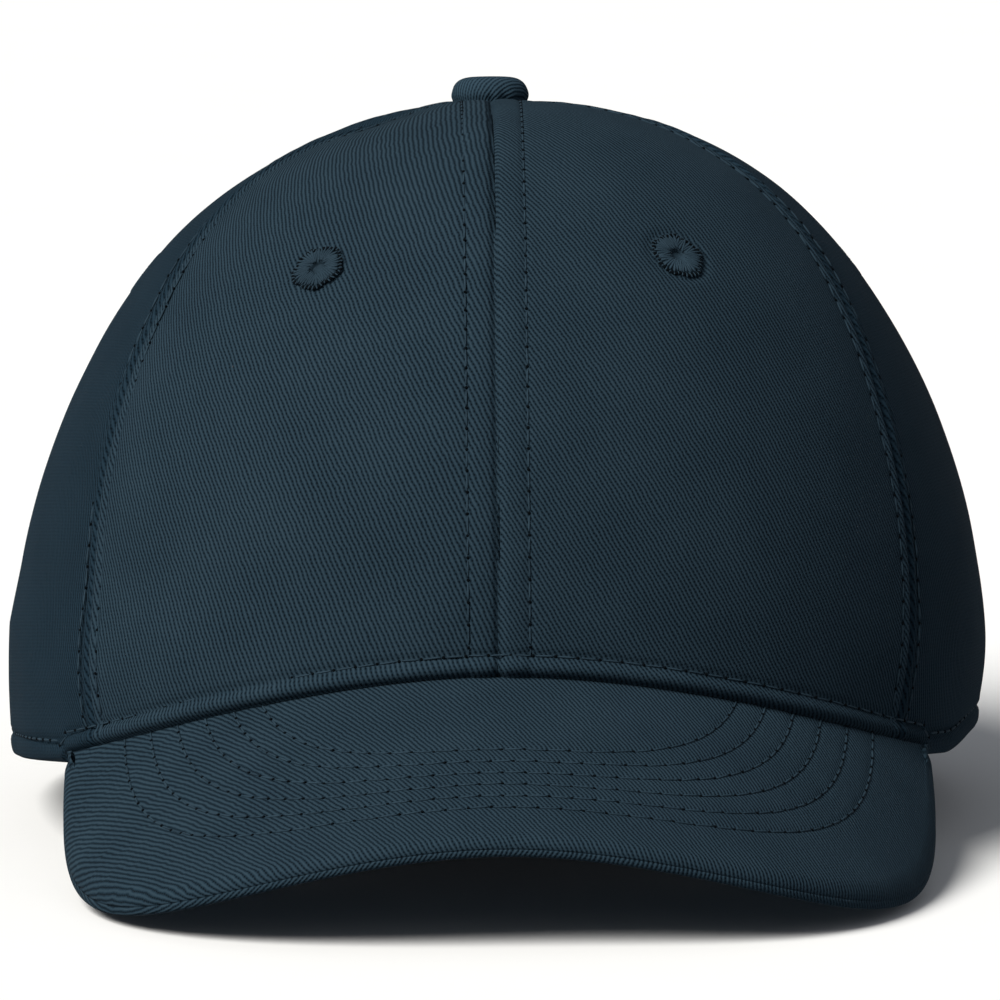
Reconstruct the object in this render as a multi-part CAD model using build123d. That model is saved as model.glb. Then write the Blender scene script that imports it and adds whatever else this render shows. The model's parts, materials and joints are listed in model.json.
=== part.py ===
from build123d import *
from math import acos, asin, atan2, cos, degrees, radians, sin, sqrt, tan
import os

# Bump cap: a cloth baseball-style cap over a vented protective shell with foam pads.
# All sizes in millimetres. The cap is drawn as worn, rim level at height 0, facing -Y,
# then tipped back as one so it rests on the peak's corners and the back of the rim.

# Crown
CROWN_HALF_WIDTH = 91.0
CROWN_FRONT = 115.0
CROWN_REAR = 114.0
CROWN_TOP = 119.7
WIDEST_LEVEL = 16.0
RIM_TAPER = 0.006
FRONT_SQUARENESS = 2.3
FRONT_FULLNESS = 0.16
SHOULDER_FULLNESS = 0.20
HOLE_RADIUS = 2.2

# Seams between panels: (angle from the front near the button, angle at the rim)
FRONT_CENTRE = (0.0, 0.0)
FRONT_SIDE = (55.0, 42.0)
REAR_SIDE = (114.0, 131.0)
REAR_CENTRE = (180.0, 180.0)

# Cloth layers, as depths below the crown's outer face
CLOTH = 1.0
TAPE_DEPTHS = (1.35, 1.85)
TAPE_WIDTH = 11.0
TAPE_END_RADIUS = 13.0
STIFFENER_DEPTHS = (1.3, 2.0)
STIFFENER_TOP = 104.0
STIFFENER_START = (6.0, 6.0)
STIFFENER_END = (50.0, 36.0)
BAND_DEPTHS = (2.75, 3.9)
BAND_HEIGHT = 32.0
LABEL_DEPTHS = (3.95, 4.25)
LABEL_ANGLES = (-100.0, -84.0)
LABEL_HEIGHTS = (6.0, 26.0)

# Protective insert
SHELL_DEPTHS = (5.2, 7.4)
SHELL_EDGE = 37.0
SHELL_REAR_EDGE = 56.0
SHELL_LIFT_ANGLES = (120.0, 155.0)
SHELL_BOSS_RADIUS = 4.0
SHELL_BOSS_HEIGHT = 2.2
SLOT_WIDTH = 7.0
TOP_SLOT_LENGTH = 34.0
TOP_SLOT_PLACES = (-40.0, -20.0, 0.0, 20.0, 40.0)
SIDE_SLOT_LENGTH = 30.0
SIDE_SLOT_PLACES = (-44.0, -22.0, 0.0, 22.0, 44.0)
SIDE_SLOT_LEVEL = 68.0
PAD_DEPTHS = (7.7, 12.7)
FRONT_PAD = (-40.0, 40.0, 42.0, 80.0)
SIDE_PAD = (58.0, 118.0, 40.0, 80.0)
REAR_PAD = (146.0, 214.0, 59.0, 88.0)
TOP_PAD_RADII = (11.0, 42.0)

# Hook dots on the shell and loop dots in the crown, by angle from the front
DOT_ANGLES = (36.0, 140.0)
DOT_HALF_ANGLES = (6.0, 6.5)
DOT_HEIGHTS = (52.0, 70.0)
LOOP_DOT_DEPTHS = (2.15, 3.2)
LOOP_DOT_MARGIN_ANGLE = 0.6
LOOP_DOT_MARGIN = 1.0
HOOK_DOT_DEPTHS = (3.5, 5.1)

# Peak
PEAK_SLOPE = 24.0
PEAK_ARCH_RADIUS = 103.5
PEAK_JOINT_LEVEL = 16.0
PEAK_HALF_WIDTH = 77.9
PEAK_REACH = 57.8
PEAK_SQUARENESS = 2.86
PEAK_COVER = 0.8
PEAK_CORE = 2.0
PEAK_THICKNESS = PEAK_CORE + 2 * PEAK_COVER
PEAK_HEM = 1.2

# Back opening and closure strap
ARCH_HALF_WIDTH = 46.0
ARCH_HEIGHT = 49.0
BINDING_WIDTH = 3.5
STRAP_CENTRE = 34.0
STRAP_LOW = 2.5
STRAP_HIGH = 22.5
TAB_RADII = (76.8, 77.5)
LOOP_RADII = (77.55, 78.8)
HOOK_RADII = (79.0, 79.95)
FLAP_RADII = (80.0, 80.9)
FLAP_HINGE_ANGLE = 21.5
FLAP_END_ANGLE = 22.0
TAB_ANGLES = (-14.0, 44.0)
HOOK_ANGLES = (-15.0, 19.0)
LOOP_ANGLES = (-12.0, 21.0)
HOOK_MARGIN = 1.5
LOOP_MARGIN = 1.0
STRAP_ROUNDING = 6.0
STRAP_START_ANGLE = -45.0
STRAP_BEND_ANGLE = -28.3

# Button and eyelets
BUTTON_RADIUS = 7.2
BUTTON_HEIGHT = 5.0
BUTTON_GAP = 0.15
BUTTON_CLOTH = 0.8
BUTTON_METAL = 0.6
RIVET_RADIUS = 1.5
RIVET_PLATE_RADIUS = 6.0
EYELET_RADIUS = 4.7
EYELET_HOLE = 1.1
EYELET_BARREL = 2.2
EYELET_LEVEL = 89.0
EYELET_ANGLES = (22.0, 92.0, 152.0)

# A block larger than the cap, for cutting
BEYOND = 600.0


def plan_radius(angle, depth):
    """Distance from the crown's axis to its widest outline, angle in degrees from the front."""
    fore = cos(radians(angle))
    reach, power = (CROWN_REAR, 2.0) if fore < 0 else (CROWN_FRONT, FRONT_SQUARENESS)
    across = abs(sin(radians(angle))) / (CROWN_HALF_WIDTH - depth)
    along = abs(fore) / (reach - depth)
    return (across**power + along**power) ** (-1 / power)


def profile_share(angle, lift):
    """Share of the plan radius left where the side profile has risen by the angle lift."""
    front = max(0.0, cos(radians(angle))) ** 2
    return cos(lift) ** (1 - FRONT_FULLNESS * front) * (1 + SHOULDER_FULLNESS * sin(lift) ** 5)


def lift_at(height, depth):
    """Profile angle of a height; runs straight on below the widest level."""
    rise = (height - WIDEST_LEVEL) / (CROWN_TOP - depth - WIDEST_LEVEL)
    return asin(min(rise, 1.0)) if rise > 0 else rise


def height_at(lift, depth):
    """Height of a profile angle, the inverse of lift_at."""
    rise = sin(lift) if lift > 0 else lift
    return WIDEST_LEVEL + (CROWN_TOP - depth - WIDEST_LEVEL) * rise


def crown_point(angle, height, depth):
    """Point of the crown at an angle from the front, a height and a depth below the cloth."""
    if height >= WIDEST_LEVEL:
        share = profile_share(angle, lift_at(height, depth))
    else:
        share = 1 - RIM_TAPER * (1 - height / WIDEST_LEVEL) ** 2
    radius = plan_radius(angle, depth) * share
    return Vector(radius * sin(radians(angle)), -radius * cos(radians(angle)), height)


def height_at_radius(angle, radius, depth):
    """Height near the top where the crown has closed in to a radius."""
    power = 1 - FRONT_FULLNESS * max(0.0, cos(radians(angle))) ** 2
    lift = 1.4
    for _ in range(6):
        share = radius / plan_radius(angle, depth) / (1 + SHOULDER_FULLNESS * sin(lift) ** 5)
        lift = acos(share ** (1 / power))
    return height_at(lift, depth)


def seam_angle(seam, height, depth):
    """Angle from the front where the seam's plane meets the crown at a height."""
    top = radians(seam[0])
    apex = Vector(0, 0, CROWN_TOP)
    normal = Vector(sin(top), -cos(top), 0).cross(crown_point(seam[1], 0, 0) - apex)
    low, high = min(seam) - 40, max(seam) + 40
    low_side = normal.dot(crown_point(low, height, depth) - apex) > 0
    for _ in range(44):
        middle = (low + high) / 2
        if (normal.dot(crown_point(middle, height, depth) - apex) > 0) == low_side:
            low = middle
        else:
            high = middle
    return middle


def peak_height(x, y, drop):
    """Height of the peak's arched face, drop below its top face."""
    middle = PEAK_JOINT_LEVEL - PEAK_ARCH_RADIUS + tan(radians(PEAK_SLOPE)) * (y + CROWN_FRONT)
    return middle + sqrt((PEAK_ARCH_RADIUS - drop) ** 2 - x**2)


def rim_height(angle):
    """Height of the crown's lower edge: level, and arched over the peak at the front."""
    point = crown_point(angle, WIDEST_LEVEL, 0)
    if point.Y > 0 or abs(point.X) > PEAK_HALF_WIDTH:
        return 0.0
    return max(0.0, peak_height(point.X, point.Y, PEAK_THICKNESS))


def spread(start, end, count):
    """Evenly spaced values from start to end."""
    return [start + (end - start) * step / (count - 1) for step in range(count)]


def meridian(seam, depths, low, high, rows):
    """Closed flat outline of a layer cut along one seam plane."""
    faces = []
    for depth in depths:
        top = min(high(seam[0], depth), height_at_radius(seam[0], HOLE_RADIUS, depth))
        lifts = spread(lift_at(low(seam[1]), depth), lift_at(top, depth), rows)
        heights = [height_at(lift, depth) for lift in lifts]
        faces.append([crown_point(seam_angle(seam, z, depth), z, depth) for z in heights])
    outer, inner = faces
    edges = [Spline(outer), Line(outer[-1], inner[-1]), Spline(inner[::-1]), Line(inner[0], outer[0])]
    return Wire(edges)


def up_to_button(angle, depth):
    """Upper limit of a layer that closes in to the hole under the button."""
    return CROWN_TOP


def layer(start, end, depths, low=rim_height, high=up_to_button, columns=7, rows=11):
    """Curved slab of the crown between two seams, two depths and two heights."""
    seams = zip(spread(start[0], end[0], columns), spread(start[1], end[1], columns))
    return Solid.make_loft([meridian(seam, depths, low, high, rows) for seam in seams])


def upright(angle):
    """Seam that runs straight up to the button."""
    return (angle, angle)


def patch(angles, depths, heights, columns=5, rows=5):
    """Curved patch of the crown between two angles, depths and heights."""
    low, high = heights
    start, end = angles
    return layer(upright(start), upright(end), depths, lambda _: low, lambda *_: high, columns, rows)


def seam_slab(seam, width):
    """Flat block of a width that stands on a seam's plane."""
    along = Vector(sin(radians(seam[0])), -cos(radians(seam[0])), 0)
    normal = along.cross(crown_point(seam[1], 0, 0) - Vector(0, 0, CROWN_TOP))
    return Plane(origin=(0, 0, CROWN_TOP), x_dir=along, z_dir=normal) * Box(BEYOND, BEYOND, width)


def mirrored(shape):
    """The same shape on the other side of the cap."""
    return shape.mirror(Plane.YZ)


def arch_prism(inset):
    """Block that fills the half-moon back opening."""
    with BuildSketch(Plane.XZ.offset(-60)) as outline:
        Ellipse(ARCH_HALF_WIDTH - inset, ARCH_HEIGHT - inset)
    return extrude(outline.sketch, amount=-70)


def surface_plane(angle, height, depth=0.0):
    """Plane on the crown with its normal pointing out of the cloth."""
    point = crown_point(angle, height, depth)
    across = crown_point(angle + 1, height, depth) - crown_point(angle - 1, height, depth)
    along = crown_point(angle, height + 1, depth) - crown_point(angle, height - 1, depth)
    return Plane(origin=point, x_dir=across, z_dir=across.cross(along))


def eyelet_plugs(radius):
    """Round cutters through the panels where the eyelets sit."""
    right = [
        Solid.make_cylinder(radius, 12, surface_plane(angle, EYELET_LEVEL).offset(-6))
        for angle in EYELET_ANGLES
    ]
    return right + [mirrored(plug) for plug in right]


def eyelet_ring(angle):
    """Stitched eyelet: a low rounded collar, a barrel through the cloth and a back collar."""
    profile = make_face(
        Polyline(
            (EYELET_HOLE, 0.0, 0.75),
            (EYELET_RADIUS - 0.7, 0.0, 0.75),
            (EYELET_RADIUS, 0.0, 0.2),
            (EYELET_BARREL, 0.0, 0.2),
            (EYELET_BARREL, 0.0, -1.0),
            (EYELET_HOLE, 0.0, -1.0),
            close=True,
        )
    )
    return revolve(profile, Axis.Z).moved(surface_plane(angle, EYELET_LEVEL).location)


def crown_panels():
    """Six cloth panels, cut back for the back opening and pierced for the eyelets."""
    spans = {
        "front": (FRONT_CENTRE, FRONT_SIDE),
        "side": (FRONT_SIDE, REAR_SIDE),
        "rear": (REAR_SIDE, REAR_CENTRE),
    }
    plugs = eyelet_plugs(EYELET_BARREL + 0.1)
    panels = {}
    for (name, (start, end)), plug in zip(spans.items(), plugs):
        panel = layer(start, end, (0.0, CLOTH)) - plug
        if name == "rear":
            panel = panel - arch_prism(0)
        panels[name + "_panel_right"] = panel
        panels[name + "_panel_left"] = mirrored(panel)
    return panels


def seam_tape(seam):
    """Narrow tape that covers a seam on the inside."""
    low = (seam[0] - 20, seam[1] - 20)
    high = (seam[0] + 20, seam[1] + 20)

    def end_height(angle, depth):
        """Height where the tape stops short of the button."""
        return height_at_radius(angle, TAPE_END_RADIUS, depth)

    strip = layer(low, high, TAPE_DEPTHS, high=end_height)
    along = Vector(sin(radians(seam[0])), -cos(radians(seam[0])), 0)
    near_side = Plane(origin=(0, 0, CROWN_TOP), z_dir=along) * Box(BEYOND, BEYOND, BEYOND)
    near_side = near_side.moved(Location(along * BEYOND / 2))
    return strip & seam_slab(seam, TAPE_WIDTH) & near_side


def seam_tapes():
    """Six seam tapes; the back one is cut away over the opening."""
    front = seam_tape(FRONT_CENTRE)
    rear = seam_tape(REAR_CENTRE) - arch_prism(0)
    sides = [seam_tape(FRONT_SIDE), seam_tape(REAR_SIDE)]
    return {
        "seam_tape_front": front,
        "seam_tape_rear": rear,
        "seam_tapes_side": Compound([*sides, *[mirrored(tape) for tape in sides]]),
    }


def front_stiffeners():
    """Stiff mesh behind each front panel, between the seam tapes."""
    gap = TAPE_WIDTH + 1

    def low(angle):
        """Lower edge, just above the rim."""
        return rim_height(angle) + 3

    def high(angle, depth):
        """Upper edge, level."""
        return STIFFENER_TOP

    sheet = layer(STIFFENER_START, STIFFENER_END, STIFFENER_DEPTHS, low, high)
    sheet = sheet - eyelet_plugs(EYELET_BARREL + 1)[0]
    sheet = sheet - seam_slab(FRONT_CENTRE, gap) - seam_slab(FRONT_SIDE, gap)
    return {"front_stiffener_right": sheet, "front_stiffener_left": mirrored(sheet)}


def sweatband():
    """Soft band inside the rim, open at the back."""

    def low(angle):
        """Lower edge, just above the rim."""
        return rim_height(angle) + 0.5

    def high(angle, depth):
        """Upper edge, level with the rim below it."""
        return rim_height(angle) + BAND_HEIGHT

    right = layer(upright(0), upright(180), BAND_DEPTHS, low, high, columns=19, rows=6)
    cut = Location((0, 100, 0)) * Box(2 * ARCH_HALF_WIDTH + 2, 120, 80)
    band = (right + mirrored(right)) - cut
    return {"sweatband": band}


def back_binding():
    """Folded tape round the edge of the back opening."""
    half = layer(upright(150), upright(180), (-0.5, 1.05), columns=7)
    ring = arch_prism(0) - arch_prism(BINDING_WIDTH)
    half = half & ring
    return {"back_binding": half + mirrored(half)}


def arc_strip(radii, start, end, low=STRAP_LOW, high=STRAP_HIGH):
    """Upright curved strip about the strap's centre, angles in degrees, plus to the right."""
    inner, outer = radii
    centre = (0, STRAP_CENTRE)
    edges = [
        CenterArc(centre, inner, 90 - end, end - start),
        Line(strap_point(inner, start), strap_point(outer, start)),
        CenterArc(centre, outer, 90 - end, end - start),
        Line(strap_point(outer, end), strap_point(inner, end)),
    ]
    strip = extrude(make_face(edges), amount=high - low)
    return strip.moved(Location((0, 0, low)))


def strap_point(radius, angle):
    """Plan point about the strap's centre, angle in degrees from straight back."""
    turn = radians(angle)
    return (radius * sin(turn), STRAP_CENTRE + radius * cos(turn))


def rounded_end(strip, angle, radius):
    """Round the two corners at one end of a strip."""
    end = Vector(*strap_point(LOOP_RADII[1], angle))
    corners = []
    for edge in strip.edges():
        middle = edge.center()
        away = (Vector(middle.X, middle.Y, 0) - end).length
        if away < 3 and edge.length < 1.5:
            corners.append(edge)
    return fillet(corners, radius)


def strap_base():
    """Root of the outer strap: leaves the channel, then steps out over the inner tab."""
    start, bend, end = STRAP_START_ANGLE, STRAP_BEND_ANGLE, -FLAP_HINGE_ANGLE
    faces = []
    for tucked, lapped in zip(TAB_RADII, FLAP_RADII):
        points = []
        for angle in spread(start, end, 15):
            share = max(0.0, (angle - bend) / (end - bend))
            share = share * share * (3 - 2 * share)
            points.append(strap_point(tucked + (lapped - tucked) * share, angle))
        faces.append(points)
    inner, outer = faces
    edges = [Spline(inner), Line(inner[-1], outer[-1]), Spline(outer[::-1]), Line(outer[0], inner[0])]
    return extrude(make_face(edges), amount=STRAP_HIGH - STRAP_LOW).moved(Location((0, 0, STRAP_LOW)))


def closure():
    """Two lapped straps with a hook patch and a loop patch."""
    flap = arc_strip(FLAP_RADII, 0.05 - FLAP_HINGE_ANGLE, FLAP_END_ANGLE)
    tab = arc_strip(TAB_RADII, *TAB_ANGLES)
    return {
        "strap_base": strap_base(),
        "strap_flap": rounded_end(flap, FLAP_END_ANGLE, STRAP_ROUNDING),
        "hook_patch": arc_strip(HOOK_RADII, *HOOK_ANGLES, STRAP_LOW + HOOK_MARGIN, STRAP_HIGH - HOOK_MARGIN),
        "strap_tab": rounded_end(tab, TAB_ANGLES[0], STRAP_ROUNDING),
        "loop_patch": arc_strip(LOOP_RADII, *LOOP_ANGLES, STRAP_LOW + LOOP_MARGIN, STRAP_HIGH - LOOP_MARGIN),
    }


def vent_slot(length, depth):
    """Round-ended slot cutter, long way along X, cutting along Z."""
    return extrude(SlotOverall(length, SLOT_WIDTH), amount=depth, both=True)


def shell_vents():
    """Cutters for the slots in the protective shell."""
    top_slot = vent_slot(TOP_SLOT_LENGTH, 60)
    side_slot = vent_slot(SIDE_SLOT_LENGTH, 90)
    cutters = []
    for x in TOP_SLOT_PLACES:
        for y in (-TOP_SLOT_LENGTH, TOP_SLOT_LENGTH):
            cutters.append(Location((x, y, CROWN_TOP), (0, 0, 90)) * top_slot)
    for y in SIDE_SLOT_PLACES:
        cutters.append(Location((0, y, SIDE_SLOT_LEVEL), (0, 90, 0)) * side_slot)
    return cutters


def insert_shell():
    """Vented plastic shell under the crown, its back edge lifted over the opening."""

    def low(angle):
        """Lower edge, rising towards the back."""
        start, end = SHELL_LIFT_ANGLES
        share = min(1.0, max(0.0, (angle - start) / (end - start)))
        return SHELL_EDGE + (SHELL_REAR_EDGE - SHELL_EDGE) * share

    right = layer(upright(0), upright(180), SHELL_DEPTHS, low, columns=19, rows=10)
    boss_level = CROWN_TOP - sum(SHELL_DEPTHS) / 2
    boss = Location((0, 0, boss_level)) * Cylinder(SHELL_BOSS_RADIUS, SHELL_BOSS_HEIGHT)
    shell = right + mirrored(right) + boss
    for cutter in shell_vents():
        shell = shell - cutter
    return shell


def pad(start, end, low, high):
    """Foam pad inside the shell between two angles and two heights."""
    return patch((start, end), PAD_DEPTHS, (low, high), columns=9, rows=7)


def top_pad():
    """Round foam pad under the top of the shell, with a hole in the middle."""
    hole, edge = TOP_PAD_RADII

    def low(angle):
        """Height of the pad's edge."""
        return height_at_radius(angle, edge, PAD_DEPTHS[1])

    def high(angle, depth):
        """Height of the hole's edge."""
        return height_at_radius(angle, hole, depth)

    half = layer(upright(0), upright(180), PAD_DEPTHS, low, high, columns=13, rows=7)
    return half + mirrored(half)


def dots(depths, margin_angle=0.0, margin=0.0):
    """Four fastening dots, a pair near the front and a pair near the back."""
    low, high = DOT_HEIGHTS
    right = []
    for angle, half in zip(DOT_ANGLES, DOT_HALF_ANGLES):
        reach = half + margin_angle
        right.append(patch((angle - reach, angle + reach), depths, (low - margin, high + margin)))
    return Compound([*right, *[mirrored(dot) for dot in right]])


def insert():
    """Shell, foam pads and the dots that hold them in the crown."""
    side = pad(*SIDE_PAD)
    return {
        "insert_shell": insert_shell(),
        "pad_front": pad(*FRONT_PAD),
        "pad_right": side,
        "pad_left": mirrored(side),
        "pad_rear": pad(*REAR_PAD),
        "pad_top": top_pad(),
        "insert_hook_dots": dots(HOOK_DOT_DEPTHS),
        "crown_loop_dots": dots(LOOP_DOT_DEPTHS, LOOP_DOT_MARGIN_ANGLE, LOOP_DOT_MARGIN),
    }


def crown_plan(depth):
    """Upright block with the crown's widest outline."""
    points = [crown_point(angle, WIDEST_LEVEL, depth) for angle in spread(-100, 100, 41)]
    points = [(point.X, point.Y) for point in points]
    outline = make_face([Spline(points), Line(points[-1], points[0])])
    return extrude(outline, amount=130, both=True)


def peak_outline(inset):
    """Upright block with the peak's plan outline, fitted to the crown at the back."""
    root = -CROWN_FRONT * joint_share()
    width = PEAK_HALF_WIDTH - inset
    reach = CROWN_FRONT + root + PEAK_REACH - inset
    front = []
    for turn in spread(-90, 90, 25):
        across, along = sin(radians(turn)), abs(cos(radians(turn)))
        side = abs(across) ** (2 / PEAK_SQUARENESS) * (1 if across > 0 else -1)
        front.append((width * side, root - reach * along ** (2 / PEAK_SQUARENESS)))
    back = [(width, root + 8), (-width, root + 8)]
    edges = [Spline(front), Polyline(front[-1], *back, front[0])]
    return extrude(make_face(edges), amount=130, both=True) - crown_plan(-0.05 - 0.7 * inset)


def peak_slab(drop, thickness, inset=0.0):
    """Arched, sloping slab of the peak, trimmed to the plan outline."""
    start = -50.0
    middle = peak_height(0, start, 0.0) - PEAK_ARCH_RADIUS
    outer = PEAK_ARCH_RADIUS - drop
    inner = outer - thickness
    with BuildSketch(Plane((0, start, middle), x_dir=(1, 0, 0), z_dir=(0, -1, 0))) as section:
        Circle(outer)
        Circle(inner, mode=Mode.SUBTRACT)
        with Locations((0, 70)):
            Rectangle(240, 140, mode=Mode.INTERSECT)
    slope = radians(PEAK_SLOPE)
    slab = extrude(section.sketch, amount=160, dir=(0, -cos(slope), -sin(slope)))
    return slab & peak_outline(inset)


def peak():
    """Stiff board between an upper cloth cover and a lower one that wraps its edge."""
    core = peak_slab(PEAK_COVER + 0.02, PEAK_CORE - 0.04, PEAK_HEM)
    pocket = peak_slab(PEAK_COVER, PEAK_CORE, PEAK_HEM - 0.1)
    under = peak_slab(PEAK_COVER, PEAK_CORE + PEAK_COVER) - pocket
    return {
        "peak_top_cover": peak_slab(0.0, PEAK_COVER),
        "peak_core": core,
        "peak_under_cover": under,
    }


def button():
    """Cloth-covered dome on the top, its metal cap and the rivet that holds it."""
    base = CROWN_TOP + BUTTON_GAP
    walls = (0.0, BUTTON_CLOTH, BUTTON_CLOTH + BUTTON_METAL)
    outer, middle, inside = [dome(BUTTON_RADIUS - wall, BUTTON_HEIGHT - wall, base) for wall in walls]
    shank = Location((0, 0, base - 0.9)) * Cylinder(RIVET_RADIUS, 4.6)
    plate = Location((0, 0, CROWN_TOP - 2.7)) * Cylinder(RIVET_PLATE_RADIUS, 0.8)
    return {
        "button_cover": outer - middle,
        "button_cap": middle - inside - Location((0, 0, base)) * Cylinder(RIVET_RADIUS, 20),
        "button_rivet": shank + plate,
    }


def dome(radius, height, base):
    """Solid cushion-shaped dome standing on a level."""
    rim, crest = (radius, 0, base), (0, 0, base + height)
    curve = Spline(rim, (0.72 * radius, 0, base + 0.76 * height), crest, tangents=[(0, 0, 1), (-1, 0, 0)])
    return revolve(make_face([curve, Polyline(crest, (0, 0, base), rim)]), Axis.Z)


def eyelets():
    """Six stitched eyelets, one in each panel."""
    right = [eyelet_ring(angle) for angle in EYELET_ANGLES]
    return {"eyelets": Compound([*right, *[mirrored(ring) for ring in right]])}


def care_label():
    """Small blank sewn label inside the band."""
    return {"care_label": patch(LABEL_ANGLES, LABEL_DEPTHS, LABEL_HEIGHTS, rows=4)}


def joint_share():
    """How far back the peak's ends sit, as a share of the crown's front reach."""
    width = (PEAK_HALF_WIDTH / CROWN_HALF_WIDTH) ** FRONT_SQUARENESS
    return (1 - width) ** (1 / FRONT_SQUARENESS)


def rest_placement(shapes):
    """Tip the cap back onto the peak's corners and the rim's back, then centre it."""
    back = CROWN_REAR * sqrt(1 - (ARCH_HALF_WIDTH / CROWN_HALF_WIDTH) ** 2)
    heel = crown_point(180 - degrees(atan2(ARCH_HALF_WIDTH, back)), 0, -0.5)
    tip = 0.0
    for x in spread(40, PEAK_HALF_WIDTH, 60):
        share = (1 - min(1.0, x / PEAK_HALF_WIDTH) ** PEAK_SQUARENESS) ** (1 / PEAK_SQUARENESS)
        y = -CROWN_FRONT * joint_share() - (CROWN_FRONT * (1 - joint_share()) + PEAK_REACH) * share
        tip = max(tip, degrees(atan2(-peak_height(x, y, PEAK_THICKNESS), heel.Y - y)))
    turned = Location((0, 0, 0), (-tip, 0, 0))
    box = Compound([shape.moved(turned) for shape in shapes]).bounding_box()
    floor = heel.Z * cos(radians(tip)) - heel.Y * sin(radians(tip))
    return Location((0, -(box.min.Y + box.max.Y) / 2, -floor)) * turned


def main():
    """Build every node and write one STEP file for each."""
    nodes = {}
    for group in (crown_panels, seam_tapes, front_stiffeners, sweatband, back_binding):
        nodes.update(group())
    for group in (closure, insert, peak, button, eyelets, care_label):
        nodes.update(group())
    placement = rest_placement(nodes.values())
    os.makedirs("parts", exist_ok=True)
    for name, shape in nodes.items():
        export_step(shape.moved(placement), "parts/" + name + ".step")


if __name__ == "__main__":
    main()
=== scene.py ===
import json
import logging
import math
from dataclasses import dataclass, field
from enum import Enum
from typing import Callable, Optional, Sequence

import bmesh
import bpy
import numpy as np
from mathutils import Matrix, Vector, noise


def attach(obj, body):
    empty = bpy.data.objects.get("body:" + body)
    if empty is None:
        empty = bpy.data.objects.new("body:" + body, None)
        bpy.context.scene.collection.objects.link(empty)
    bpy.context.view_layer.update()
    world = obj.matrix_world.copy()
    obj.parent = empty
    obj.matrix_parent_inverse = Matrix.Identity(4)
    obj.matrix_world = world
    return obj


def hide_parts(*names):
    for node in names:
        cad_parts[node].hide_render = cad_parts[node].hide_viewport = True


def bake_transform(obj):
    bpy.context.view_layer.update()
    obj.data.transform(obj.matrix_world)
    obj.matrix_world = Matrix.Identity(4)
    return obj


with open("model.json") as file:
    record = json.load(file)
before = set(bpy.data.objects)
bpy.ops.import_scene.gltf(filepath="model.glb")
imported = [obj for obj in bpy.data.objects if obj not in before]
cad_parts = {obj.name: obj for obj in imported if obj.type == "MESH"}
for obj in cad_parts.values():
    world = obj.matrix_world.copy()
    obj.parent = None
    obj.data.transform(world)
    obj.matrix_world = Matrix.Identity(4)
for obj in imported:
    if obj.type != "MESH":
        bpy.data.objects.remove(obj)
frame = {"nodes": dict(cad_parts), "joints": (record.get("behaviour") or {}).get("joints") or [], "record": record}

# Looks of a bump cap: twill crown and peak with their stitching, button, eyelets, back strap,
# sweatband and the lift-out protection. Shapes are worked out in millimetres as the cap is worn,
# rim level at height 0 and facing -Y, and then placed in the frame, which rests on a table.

log = logging.getLogger("bump_cap")
Array = np.ndarray
MM = 0.001
RIM_LEVEL = 8.0
BISECTIONS = 40
ARCH = (46.0, 49.0)  # half width and height of the back opening


# ---------------------------------------------------------------- places and forms


def bell(distance: Array, width: float) -> Array:
    """Smooth bump of height 1 at distance 0."""
    return np.exp(-((distance / width) ** 2))


def ease(share: Array) -> Array:
    """Smooth rise from 0 to 1 as the share goes from 0 to 1."""
    share = np.clip(share, 0, 1)
    return share * share * (3 - 2 * share)


def between(value: Array, start: float, end: float) -> Array:
    """Smooth rise from 0 at the start value to 1 at the end value."""
    return ease((value - start) / (end - start))


def unit(vectors: Array) -> Array:
    """Vectors along the last axis, brought to length 1."""
    return vectors / np.linalg.norm(vectors, axis=-1, keepdims=True)


def narrow(low: Array, high: Array, test: Callable[[Array], Array]) -> tuple[Array, Array]:
    """Close in on the values where a test changes its answer.

    Args:
        low: Values on one side of the change.
        high: Values on the other side.
        test: Answers true or false for each value.

    Returns:
        The low and high values, a hair apart.
    """
    low_side = test(low)
    for _ in range(BISECTIONS):
        middle = (low + high) / 2
        same = test(middle) == low_side
        low, high = np.where(same, middle, low), np.where(same, high, middle)
    return low, high


class Body(Enum):
    """Rigid bodies of the frame."""

    CROWN = "crown"
    INSERT = "insert"
    FLAP = "flap"
    TAB = "tab"


class Placement:
    """Turns points as worn, in millimetres, into the frame's metres."""

    def __init__(self) -> None:
        """Read the tilt from the insert's slide and the origin from the head opening."""
        slide = next(j for j in frame["joints"] if j["name"] == "insert_out")
        mount = next(m for m in frame["record"]["mounts"] if m["name"] == "head_opening")
        up = -np.array(slide["axis"], float)
        across = np.array([1.0, 0.0, 0.0])
        self.turn = np.stack([across, np.cross(up, across), up])
        self.origin = np.array(mount["pos_m"], float) - RIM_LEVEL * MM * up

    def place(self, points: Array) -> Array:
        """Put worn points in the frame.

        Args:
            points: Array whose last axis is x, y, z in millimetres.

        Returns:
            The same points in metres, in the frame.
        """
        return np.asarray(points, float) * MM @ self.turn + self.origin

    def aim(self, directions: Array) -> Array:
        """Turn worn directions into the frame's, without moving them."""
        return np.asarray(directions, float) @ self.turn


@dataclass(frozen=True)
class Seam:
    """A seam plane through the button: its angle from the front there and at the rim."""

    top: float
    rim: float


FRONT_CENTRE = Seam(0, 0)
FRONT_SIDE = Seam(55, 42)
REAR_SIDE = Seam(114, 131)
REAR_CENTRE = Seam(180, 180)


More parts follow.
